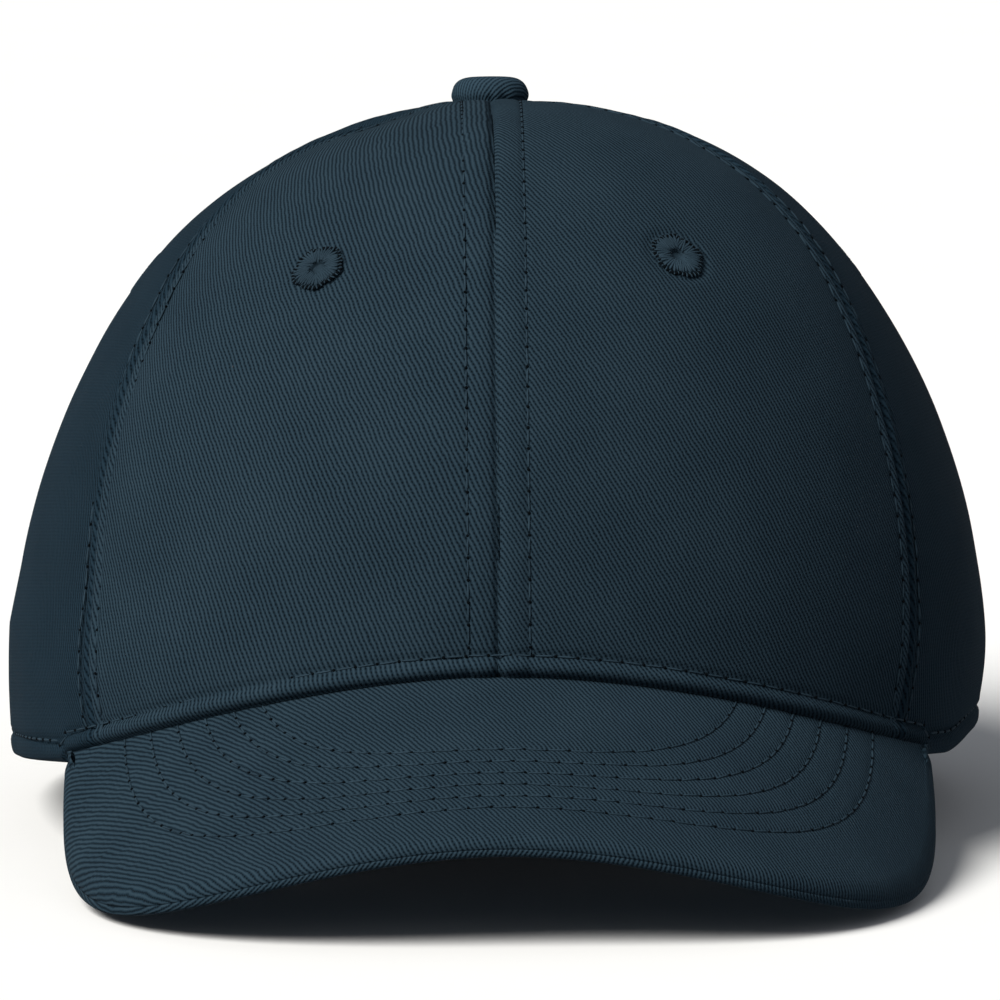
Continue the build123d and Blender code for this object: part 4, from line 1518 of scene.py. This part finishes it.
@dataclass
class Peak:
    """Twill covers of the peak with their sewn rows and rolled edge."""

    shop: Workshop
    across: int = 300
    along: int = 96
    rows: int = 6
    side_inset: float = 11.2
    front_inset: float = 11.4
    side_pitch: float = 4.5
    front_pitch: float = 4.14
    edge_steps: int = 9
    cloth: float = 0.7
    wave: float = 0.14
    wave_size: float = 26.0
    fuzz: float = 0.03
    pucker: float = 0.09
    pucker_size: float = 3.2
    edge_tuck: float = 0.25
    stretch: tuple[float, float] = (1.12, 1.09)

    def row_insets(self) -> list[tuple[float, float]]:
        """Side and front insets of each sewn row."""
        return [
            (self.side_inset + self.side_pitch * n, self.front_inset + self.front_pitch * n)
            for n in range(self.rows)
        ]

    def normal_at(self, x: Array, y: Array) -> Array:
        """Upward normals of the peak's face at plan points."""
        form = self.shop.peak
        slope_x = -x / np.sqrt(form.arch_radius**2 - x**2)
        slope_y = np.full_like(x, math.tan(math.radians(form.slope)))
        return unit(np.stack([-slope_x, -slope_y, np.ones_like(x)], -1))

    def relief(self, x: Array, y: Array, seed: float, depth: float) -> Array:
        """How far the cloth stands out between the sewn rows."""
        spots = np.stack([x, y, np.full_like(x, seed)], -1)
        fine = ripple(spots, self.pucker_size, seed)
        out = self.wave * ripple(spots, self.wave_size, seed + 3) + self.fuzz * fine
        for inset in self.row_insets():
            away = self.shop.peak.from_row(x, y, *inset)
            out += -depth * bell(away, 0.6) + self.pucker * fine * bell(away, 1.4)
        return out

    def plan_grid(self) -> tuple[Array, Array, Array]:
        """Plan points from the joint to the rolled edge, where that starts, and its outward way."""
        form = self.shop.peak
        turn = np.linspace(-89.5, 89.5, self.across)
        edge = form.outline(turn)
        run = np.gradient(edge, axis=0)
        away = unit(np.stack([run[:, 1], -run[:, 0]], -1))
        away *= np.sign(np.sum(away * (edge - (0, -100)), -1))[:, None]
        inner = edge - away * form.thickness / 2
        joint_x = np.clip(form.half_width * turn / 90, -form.half_width + 0.5, form.half_width - 0.5)
        joint = np.stack([joint_x, form.root(joint_x) + 0.4], -1)
        share = np.linspace(0, 1, self.along)[None, :, None]
        plan = joint[:, None] + (inner - joint)[:, None] * share
        return plan, inner, away

    def build_cover(self, top: bool) -> None:
        """Make one cover, from the joint out and half way round the edge.

        Args:
            top: Whether it is the upper cover.
        """
        form = self.shop.peak
        plan, inner, away = self.plan_grid()
        x, y = plan[..., 0], plan[..., 1]
        side = 1.0 if top else -1.0
        normal = side * self.normal_at(x, y)
        edge_fade = np.clip((1 - np.linspace(0, 1, self.along)) * 12, 0, 1)[None]
        bulge = self.relief(x, y, *self.cover_relief(top)) * edge_fade
        face = form.height(x, y, 0.0 if top else form.thickness)
        sheet = np.concatenate([plan, face[..., None]], -1) + normal * bulge[..., None]
        half = form.thickness / 2
        roll, laid = [], [plan]
        for angle in np.linspace(0, math.pi / 2, self.edge_steps)[1:]:
            rim = inner + away * (half * math.sin(angle) - self.edge_tuck * math.sin(angle) ** 14)
            drop = half * (1 - math.cos(angle))
            rim_height_here = form.height(rim[:, 0], rim[:, 1], drop if top else form.thickness - drop)
            roll.append(np.concatenate([rim, rim_height_here[:, None]], -1))
            laid.append((inner + away * half * angle)[:, None])
        points = np.concatenate([sheet, np.stack(roll, 1)], 1)
        facing = np.concatenate([normal, np.repeat(normal[:, -1:], len(roll), 1)], 1)
        uv = np.concatenate(laid, 1) * self.stretch
        name = "twill_peak_top" if top else "twill_peak_under"
        piece = self.shop.sheet(name, points, facing, uv)
        thicken(piece, self.cloth)
        slot, node = ("cloth", "peak_top_cover") if top else ("cloth_under", "peak_under_cover")
        fit(piece, self.shop.finish.peak, slot, Body.CROWN, node)

    @staticmethod
    def cover_relief(top: bool) -> tuple[float, float]:
        """Seed of a cover's creases, and how deep its rows sink."""
        return (2.0, 0.16) if top else (31.0, 0.14)

    def row_paths(self, top: bool) -> list[Path]:
        """Lines of the sewn rows on one cover."""
        form, paths = self.shop.peak, []
        for inset in self.row_insets():
            plan = form.outline(np.linspace(-90, 90, 500), *inset)
            plan = plan[plan[:, 1] < form.root(plan[:, 0]) - 0.6]
            x, y = plan[:, 0], plan[:, 1]
            normal = self.normal_at(x, y)
            normal = normal if top else -normal
            face = form.height(x, y, 0.0 if top else form.thickness)
            lift = self.relief(x, y, *self.cover_relief(top)) + 0.10
            points = np.concatenate([plan, face[:, None]], -1) + normal * lift[:, None]
            paths.append(Path(points, normal))
        return paths

    def build(self) -> None:
        """Make both covers, their sewn rows and dress the board."""
        for top, name in ((True, "peak_rows_top"), (False, "peak_rows_under")):
            self.build_cover(top)
            self.shop.sew(name, self.row_paths(top), StitchKind(seed=31 + top), Body.CROWN)
        dress(frame["nodes"]["peak_core"], self.shop.finish.board)


# ---------------------------------------------------------------- button


@dataclass
class Button:
    """Cloth-covered button on the top, gathered underneath."""

    shop: Workshop
    radius: float = 7.4
    rise: float = 5.0
    base: float = 119.6
    folds: int = 15
    squareness: float = 0.42
    dome: float = 0.85
    pleat_depth: float = 0.22
    gathered: float = 0.5

    def build(self) -> None:
        """Make the covered dome and dress the metal under it."""
        turn = np.linspace(0, math.tau, 192, endpoint=False)[:, None]
        slant = np.linspace(0, math.pi / 2, 40)[None]
        ring = np.cos(slant) ** self.squareness * self.radius
        height = self.rise * np.sin(slant) ** self.dome + 0.0 * turn
        wander = 0.5 * np.sin(2 * turn + 1.0) + 0.3 * np.sin(5 * turn)
        pleat = np.sin(self.folds * turn + 2 * wander + 2.6 * slant)
        tucked = bell(slant, 0.42) * (0.55 + 0.45 * np.sin(3 * turn + 0.5))
        ring = ring - self.pleat_depth * tucked * (pleat + 1) - self.gathered * bell(slant, 0.16)
        points = np.stack([ring * np.sin(turn), -ring * np.cos(turn), self.base + height], -1)
        points[:, -1] = (0, 0, self.base + self.rise)
        from_crest = run_length(points, 1)
        from_crest = from_crest[:, -1:] - from_crest
        uv = np.stack([from_crest * np.sin(turn), -from_crest * np.cos(turn)], -1)
        flip = outward(points, points - (0, 0, self.base))
        piece = grid_object("twill_button", self.shop.place.place(points), uv * MM, wrap=True, flip=flip)
        close_ends(piece)
        fit(piece, self.shop.finish.trim, "cloth", Body.CROWN, "button_cover")
        dress(frame["nodes"]["button_cap"], self.shop.finish.steel)
        dress(frame["nodes"]["button_rivet"], self.shop.finish.steel)


# ---------------------------------------------------------------- back closure


# Section of the folded tape: distance out from the opening's edge, and depth into the cloth.
BINDING = (
    (1.7, 0.1), (1.6, -0.45), (0.9, -0.62), (-0.8, -0.68), (-2.4, -0.62), (-3.2, -0.35),
    (-3.5, 0.2), (-3.2, 0.85), (-2.4, 1.1), (-0.8, 1.15), (0.9, 1.15), (1.6, 1.1),
)


@dataclass
class Closure:
    """Binding of the back opening, the two lapped straps and their hook and loop."""

    shop: Workshop
    centre: float = 34.0
    low: float = 2.5
    high: float = 22.5
    tab: tuple[float, float] = (76.8, 77.5)
    flap: tuple[float, float] = (80.0, 80.9)
    hook: tuple[float, float] = (79.25, 79.95)
    loop: tuple[float, float] = (77.55, 78.5)
    hinge: float = 21.5
    bend: float = 28.3
    patch_margin: float = 1.3
    strap_angles: tuple[float, float] = (-45.0, 22.0)
    tab_angles: tuple[float, float] = (-14.0, 44.0)
    corner: float = 6.0
    blend_reach: tuple[float, float] = (-2.5, 3.0)
    blend_radius: float = 80.4
    gathers: int = 41
    gather_depth: float = 0.08
    middle_radius: float = 78.0

    def on_back(self, x: Array, height: Array, depth: Array) -> Array:
        """Points of the crown's back at given x and heights."""
        form = self.shop.crown
        side, back = np.full(np.shape(x), 90.0), np.full(np.shape(x), 180.0)
        turn, _ = narrow(side, back, lambda angle: form.point(angle, height, depth)[..., 0] > np.abs(x))
        same = np.ones_like(x)
        return form.point(turn, height, depth) * np.stack([np.sign(x), same, same], -1)

    def arch_point(self, turn: Array, grow: Array, depth: Array) -> Array:
        """Points beside the opening's edge: along it, outwards from it, and into the cloth."""
        wide, tall = ARCH
        x, z = wide * np.cos(turn), tall * np.sin(turn)
        away = unit(np.stack([np.cos(turn) / wide, np.sin(turn) / tall], -1))
        x, z = x + away[..., 0] * grow, np.maximum(z + away[..., 1] * grow, 0.02)
        return self.on_back(np.where(np.abs(x) < 0.01, 0.01, x), z, depth)

    def build_binding(self) -> None:
        """Fold a tape round the edge of the opening and sew it down."""
        turn = np.linspace(0.001, math.pi - 0.001, 190)
        rings = []
        for grow, depth in BINDING:
            gathers = self.gather_depth * np.sin(turn * self.gathers) * (grow > 0)
            rings.append(self.arch_point(turn, np.full_like(turn, grow), depth - gathers))
        piece = self.shop.tube("twill_binding", np.swapaxes(np.array(rings), 0, 1))
        fit(piece, self.shop.finish.trim, "cloth", Body.CROWN, "back_binding")
        inner_turn = turn[4:-4]
        paths = []
        for grow in (0.9, -2.5):
            points = self.arch_point(inner_turn, np.full_like(inner_turn, grow), -0.70)
            behind = self.arch_point(inner_turn, np.full_like(inner_turn, grow), 0.5)
            paths.append(Path(points, unit(points - behind)))
        self.shop.sew("binding_stitches", paths, StitchKind(pitch=3.2, length=2.8, seed=41), Body.CROWN)

    def around(self, radius: Array, angle: Array, height: Array) -> Array:
        """Points about the strap's centre, angle in degrees from straight back."""
        turn = np.radians(angle)
        x, y = radius * np.sin(turn), self.centre + radius * np.cos(turn)
        return np.stack(np.broadcast_arrays(x, y, height), -1)

    def strip(
        self,
        name: str,
        angle: Array,
        radii: tuple[Array, Array],
        heights: tuple[float, float],
        round_at: tuple[float, float] = (0.0, 0.0),
    ) -> bpy.types.Object:
        """Make a flat strap: soft edges, its corners rounded where asked.

        Args:
            name: Name of the piece.
            angle: Angles along it.
            radii: Inner and outer radius at each angle.
            heights: Lower and upper edge.
            round_at: Corner radius at the first and last angle, in millimetres.

        Returns:
            The piece.
        """
        low, high = heights
        inner, outer = np.broadcast_to(radii[0], angle.shape), np.broadcast_to(radii[1], angle.shape)
        run = np.radians(angle - angle[0]) * self.middle_radius
        cut = np.zeros_like(run)
        for radius, away in ((round_at[0], run), (round_at[1], run[-1] - run)):
            if radius:
                into = np.clip(radius - away, 0, radius)
                cut = np.maximum(cut, radius - np.sqrt(np.maximum(radius**2 - into**2, 0)))
        ends = np.ones_like(run)
        ends[0] = ends[-1] = 0.12
        rings = []
        level = np.linspace(0.02, 0.98, 15)
        middle, half = (inner + outer) / 2, (outer - inner) / 2 * ends
        section = [(0.0, 0.0), (0.004, 0.75)] + [(s, 1.0) for s in level] + [(0.996, 0.75), (1.0, 0.0)]
        section += [(0.996, -0.75)] + [(s, -1.0) for s in level[::-1]] + [(0.004, -0.75)]
        for share, side in section:
            bottom, topmost = low + cut, high - cut
            rings.append(self.around(middle + half * side, angle, bottom + (topmost - bottom) * share))
        return self.shop.tube(name, np.swapaxes(np.array(rings), 0, 1))

    def box_path(
        self, radius: float, angles: tuple[float, float], heights: tuple[float, float], sign: float
    ) -> Path:
        """Rectangle of stitches on a strap's face."""
        across = np.linspace(*angles, 40)
        low, high = heights
        upward = np.linspace(low, high, 14)
        corners = [
            self.around(radius, across, low),
            self.around(radius, angles[1], upward)[1:],
            self.around(radius, across[::-1], high)[1:],
            self.around(radius, angles[0], upward[::-1])[1:-1],
        ]
        points = np.vstack(corners)
        normals = points - (0, self.centre, 0)
        normals[:, 2] = 0
        return Path(points, unit(sign * normals), closed=True)

    def build_straps(self) -> None:
        """Make the outer strap, which bends at its root, and the inner tab."""
        angle = np.linspace(*self.strap_angles, 200)
        share = ease((angle + self.bend) / (self.bend - self.hinge))
        inner = self.tab[0] + (self.flap[0] - self.tab[0]) * share
        outer = self.tab[1] + (self.flap[1] - self.tab[1]) * share
        levels = (self.low, self.high)
        strap = self.strip("webbing_outer_strap", angle, (inner, outer), levels, (0, self.corner))
        dress(strap, self.shop.finish.webbing)
        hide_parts("strap_base", "strap_flap")
        level = np.array((self.low + self.high) / 2)
        start, end = (
            self.shop.place.place(self.around(self.blend_radius, np.array(-self.hinge + reach), level))
            for reach in self.blend_reach
        )
        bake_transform(strap)
        log.info("%s bends between crown and flap", strap.name)
        angle = np.linspace(*self.tab_angles, 170)
        tab = self.strip("webbing_inner_tab", angle, self.tab, levels, (self.corner, 0))
        fit(tab, self.shop.finish.webbing, "webbing", Body.TAB, "strap_tab")

    def build_patches(self) -> None:
        """Sew the hook and loop patches on and stand their wires."""
        kinds = (
            ("hook", (-15.0, 19.0), self.hook, (4.0, 21.0), Body.FLAP, HOOKS, -1.0, self.flap[1] + 0.05),
            ("loop", (-12.0, 21.0), self.loop, (3.5, 21.5), Body.TAB, LOOPS, 1.0, self.tab[0] - 0.05),
        )
        for name, angles, radii, heights, body, kind, way, sewn_at in kinds:
            finish = self.shop.finish.hooks if name == "hook" else self.shop.finish.pile
            backing = (radii[1] - 0.3, radii[1]) if name == "hook" else (radii[0], radii[0] + 0.4)
            patch = self.strip(f"{name}_patch_base", np.linspace(*angles, 60), backing, heights)
            fit(patch, finish, name, body, f"{name}_patch")
            face = self.carrier(name, angles, backing[0] if name == "hook" else backing[1], heights, way)
            wires = self.shop.pile.stand(f"{name}_patch_wires", face, kind, finish)
            bpy.data.objects.remove(face)
            fit(wires, finish, name, body)
            inset = (angles[0] + 1.2, angles[1] - 1.2)
            rows = (heights[0] + self.patch_margin, heights[1] - self.patch_margin)
            path = self.box_path(sewn_at, inset, rows, -way)
            small = StitchKind(length=2.2, pitch=2.6, seed=51)
            self.shop.sew(f"{name}_patch_stitches", [path], small, body)

    def carrier(
        self,
        name: str,
        angles: tuple[float, float],
        radius: float,
        heights: tuple[float, float],
        way: float,
    ) -> bpy.types.Object:
        """Face that carries a patch's wires, its normals outwards for way 1, inwards for -1."""
        angle = np.linspace(angles[0] + 0.6, angles[1] - 0.6, 30)[:, None]
        height = np.linspace(heights[0] + 0.6, heights[1] - 0.6, 8)[None]
        points = self.around(radius, angle, height)
        normals = way * (points - (0, self.centre, 0)) * (1, 1, 0)
        return self.shop.sheet(name + "_face", points, normals, points[..., :2])

    def build(self) -> None:
        """Make the whole closure."""
        self.build_binding()
        self.build_straps()
        self.build_patches()


# ---------------------------------------------------------------- inside


@dataclass
class Lining:
    """Sweatband and its blank label."""

    shop: Workshop
    tall: float = 31.5
    lift: float = 0.6
    half_angle: float = 153.5
    row_shares: tuple[float, float] = (0.08, 0.93)
    waver: float = 0.25
    label_angles: tuple[float, float] = (-100.0, -84.0)
    label_heights: tuple[float, float] = (6.0, 26.0)
    label_depth: float = 4.05
    faces: tuple[float, float] = (2.85, 3.85)

    def build(self) -> None:
        """Make the folded band, its sewn rows and the label."""
        form, peak = self.shop.crown, self.shop.peak
        angle = np.linspace(-self.half_angle, self.half_angle, 420)
        base = rim_height(peak, angle) + self.lift
        outer, inner = self.faces
        section = [(outer, s) for s in np.linspace(0.02, 0.97, 12)]
        section += [(outer + 0.15, 0.992), ((outer + inner) / 2, 1.0), (inner - 0.15, 0.992)]
        section += [(inner, s) for s in np.linspace(0.97, 0.02, 12)]
        section += [(inner - 0.2, 0.004), ((outer + inner) / 2, 0.0), (outer + 0.2, 0.004)]
        rings = []
        for depth, share in section:
            height = base + self.tall * share
            waver = 0.0 if depth < inner - 0.01 else self.waver
            points = form.point(angle, height, depth)
            swell = waver * ripple(points, 9.0, 4.0)
            points = points * (1 - swell[:, None] * 0.002 * (1, 1, 0))
            points[:, 2] += form.hitch(points)
            rings.append(points)
        band = self.shop.tube("towelling_sweatband", np.swapaxes(np.array(rings), 0, 1))
        fit(band, self.shop.finish.towelling, "band", Body.CROWN, "sweatband")
        paths = []
        for share in self.row_shares:
            points = form.point(angle[6:-6], base[6:-6] + self.tall * share, inner + 0.12)
            points[:, 2] += form.hitch(points)
            paths.append(Path(points, unit(-points * (1, 1, 0))))
        self.shop.sew("sweatband_stitches", paths, StitchKind(seed=61), Body.CROWN)
        self.build_label()

    def build_label(self) -> None:
        """Hang a small blank ribbon label on the band."""
        angle = np.linspace(*self.label_angles, 30)[:, None]
        height = np.linspace(*self.label_heights, 30)[None]
        points = self.shop.crown.point(angle, height, self.label_depth)
        points = points * (1 + 0.0015 * np.sin(height / 3.1)[..., None] * np.array([1, 1, 0]))
        label = self.shop.sheet("ribbon_label", points, -points * (1, 1, 0), spread(points))
        thicken(label, 0.15)
        fit(label, self.shop.finish.ribbon, "label", Body.CROWN, "care_label")


@dataclass(frozen=True)
class PadSpec:
    """One foam pad: its node, its angles from the front and its heights."""

    node: str
    angles: tuple[float, float]
    heights: tuple[float, float]


PADS = (
    PadSpec("pad_front", (-39.0, 39.0), (43.0, 79.0)),
    PadSpec("pad_right", (59.0, 117.0), (41.0, 79.0)),
    PadSpec("pad_left", (-117.0, -59.0), (41.0, 79.0)),
    PadSpec("pad_rear", (147.0, 213.0), (60.0, 87.0)),
)


@dataclass
class Insert:
    """Vented shell with its foam pads and hook dots."""

    shop: Workshop
    depths: tuple[float, float] = (8.1, 12.3)
    voxel: float = 1.5
    swell: float = 0.9
    fill: float = 0.8
    top_radii: tuple[float, float] = (43.0, 11.8)
    weld: float = 1e-6
    pressure: float = 4.0
    steps: int = 20
    smoothings: int = 9
    crisp: float = 35.0

    def slab(self, name: str, angle: Array, lifts: Callable[[float], Array]) -> bpy.types.Object:
        """Closed slab between the pads' two depths.

        Args:
            name: Name of the piece.
            angle: Angles along it.
            lifts: Heights across it for a depth, one row per angle.

        Returns:
            The slab.
        """
        form = self.shop.crown
        faces = [form.point(angle[:, None], lifts(depth), depth) for depth in self.depths]
        rings = np.concatenate([faces[0], faces[1][:, ::-1]], 1)
        return self.shop.tube(name, rings)

    def puff(self, piece: bpy.types.Object) -> None:
        """Swell a slab into a soft pad by cloth simulation."""
        remesh = piece.modifiers.new("remesh", "REMESH")
        remesh.mode = "VOXEL"
        remesh.voxel_size = self.voxel * MM
        remesh.use_smooth_shade = True
        self.apply(piece)
        rest = np.array([v.co for v in piece.data.vertices])
        cloth = piece.modifiers.new("cloth", "CLOTH")
        cloth.settings.use_pressure = True
        cloth.settings.uniform_pressure_force = self.pressure
        cloth.settings.effector_weights.gravity = 0.0
        cloth.settings.quality = 4
        scene = bpy.context.scene
        for step in range(1, self.steps + 1):
            scene.frame_set(step)
        self.apply(piece)
        scene.frame_set(1)
        moved = np.array([v.co for v in piece.data.vertices]) - rest
        far = np.linalg.norm(moved, axis=1, keepdims=True)
        share = np.minimum(1.0, self.swell * MM / np.maximum(far, 1e-9))
        piece.data.vertices.foreach_set("co", (rest + moved * share).astype(np.float32).ravel())
        piece.data.update()
        smooth = piece.modifiers.new("smooth", "SMOOTH")
        smooth.iterations = self.smoothings
        smooth.factor = 0.5
        self.apply(piece)
        soften = piece.modifiers.new("soften", "SUBSURF")
        soften.levels = soften.render_levels = 1
        dress(piece, self.shop.finish.foam)

    def apply(self, piece: bpy.types.Object) -> None:
        """Apply the piece's modifiers to its mesh."""
        piece.data = evaluated_mesh(piece)
        shade_smooth(piece.data)

    def build(self) -> None:
        """Make the pads and dress the shell and its dots."""
        for spec in PADS:
            angle = np.linspace(*spec.angles, 40)
            height = np.linspace(*spec.heights, 16)
            slab = self.slab("foam_" + spec.node, angle, lambda depth: np.repeat(height[None], 40, 0))
            self.puff(slab)
            settle(slab, Body.INSERT, spec.node)
        self.build_top_pad()
        for node, finish, slot in (
            ("insert_shell", self.shop.finish.shell, "shell"),
            ("insert_hook_dots", self.shop.finish.hooks, "hook"),
            ("crown_loop_dots", self.shop.finish.pile, "loop"),
        ):
            part = frame["nodes"][node]
            weld = part.modifiers.new("weld", "WELD")
            weld.merge_threshold = self.weld
            split = part.modifiers.new("crisp edges", "EDGE_SPLIT")
            split.split_angle = math.radians(self.crisp)
            shade_smooth(part.data)
            dress(part, finish)

    def build_top_pad(self) -> None:
        """Make the round pad under the top."""
        form = self.shop.crown
        turn = np.linspace(0, 360, 72, endpoint=False)
        rings = []
        for depth, order in ((self.depths[0], 1), (self.depths[1], -1)):
            low = form.height_at_radius(turn, self.top_radii[0], self.depths[1])
            high = form.height_at_radius(turn, self.top_radii[1], depth)
            share = np.linspace(0, 1, 14)[::order]
            start, end = form.lift(low, depth), form.lift(high, depth)
            lifts = start[:, None] + (end - start)[:, None] * share[None]
            rings.append(form.point(turn[:, None], form.height(lifts, depth), depth))
        around = np.concatenate(rings, 1)
        closed = np.concatenate([around, around[:1]], 0)
        piece = self.shop.tube("foam_pad_top", closed)
        self.puff(piece)
        settle(piece, Body.INSERT, "pad_top")


# ---------------------------------------------------------------- studio


@dataclass
class Studio:
    """Floor, soft lights and the camera in front of the cap."""

    shop: Workshop
    distance: float = 1900.0
    view_width: float = 186.15
    aim_x: float = 1.3
    aim_height: float = 45.8
    elevation: float = 0.65
    azimuth: float = -0.5
    roll: float = -0.4
    sensor: float = 36.0
    floor_half: float = 6.0
    floor_drop: float = 0.0004
    glow: float = 0.20

    def build_camera(self) -> None:
        """Stand the camera level with the worn rim, in front of the peak."""
        data = bpy.data.cameras.new("front camera")
        data.sensor_width = self.sensor
        data.lens = self.distance / self.view_width * data.sensor_width
        data.clip_end = 20.0
        camera = make_object("front camera", data)
        turn, lift = math.radians(self.azimuth), math.radians(self.elevation)
        aim = np.array([self.aim_x, 0.0, self.aim_height])
        level = math.cos(lift)
        away = np.array([math.sin(turn) * level, -math.cos(turn) * level, math.sin(lift)])
        camera.location = self.shop.place.place(aim + away * self.distance)
        look = Vector(self.shop.place.aim(-away))
        camera.rotation_euler = look.to_track_quat("-Z", "Y").to_euler()
        camera.rotation_euler.rotate_axis("Z", math.radians(self.roll))
        bpy.context.scene.camera = camera

    def light(
        self, name: str, place: Sequence[float], softness: float, power: float, colour: str
    ) -> None:
        """Add a soft light that fills the studio evenly from one side.

        Args:
            name: Name of the light.
            place: The direction it comes from.
            softness: Degrees across the light as the cap sees it.
            power: Watts for each square metre.
            colour: sRGB hex colour.
        """
        data = bpy.data.lights.new(name, "SUN")
        data.angle = math.radians(softness)
        data.energy = power
        data.color = linear(colour)[:3]
        lamp = make_object(name, data)
        lamp.location = place
        lamp.rotation_euler = (-Vector(place)).to_track_quat("-Z", "Y").to_euler()

    def build(self) -> None:
        """Make the floor, the world, the lights and the camera."""
        mesh = bpy.data.meshes.new("floor")
        side = self.floor_half
        corners = [(-side, -side, 0), (side, -side, 0), (side, side, 0), (-side, side, 0)]
        mesh.from_pydata(corners, [], [(0, 1, 2, 3)])
        floor = make_object("floor", mesh)
        floor.location.z = -self.floor_drop
        floor.visible_diffuse = False
        # Bright, shineless ground that all but vanishes round the cap.
        paper = Speckled("matt white paper", "f8f8f7", "fafaf9", grain=2.0, relief=0.0, roughness=0.9)
        floor.data.materials.append(paper.build())
        world = bpy.data.worlds.new("studio")
        bpy.context.scene.world = world
        world.use_nodes = True
        tree = world.node_tree
        tree.nodes.clear()
        seen, glow = (
            add_node(tree, "ShaderNodeBackground", {"Color": linear(hue), "Strength": power}).outputs[0]
            for hue, power in (("ffffff", 1.0), ("f1f6ff", self.glow))
        )
        is_seen = add_node(tree, "ShaderNodeLightPath").outputs["Is Camera Ray"]
        mixed = add_node(tree, "ShaderNodeMixShader", {0: is_seen, 1: glow, 2: seen}).outputs[0]
        add_node(tree, "ShaderNodeOutputWorld", {"Surface": mixed})
        self.light("key", (-0.52, -0.50, 0.69), softness=35.0, power=4.3, colour="fffdf9")
        self.light("fill", (0.85, -0.45, 0.35), softness=60.0, power=0.12, colour="f2f6ff")
        bpy.context.scene.view_settings.view_transform = "Standard"
        self.build_camera()


def main() -> None:
    """Build the cap's looks in order."""
    logging.basicConfig(level=logging.INFO, format="%(name)s: %(message)s")
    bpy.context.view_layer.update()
    shop = Workshop.open()
    for assembly in (Studio, Crown, Peak, Button, Closure, Lining, Insert):
        assembly(shop).build()
        log.info("%s is built", assembly.__name__)


if __name__ == "__main__":
    main()
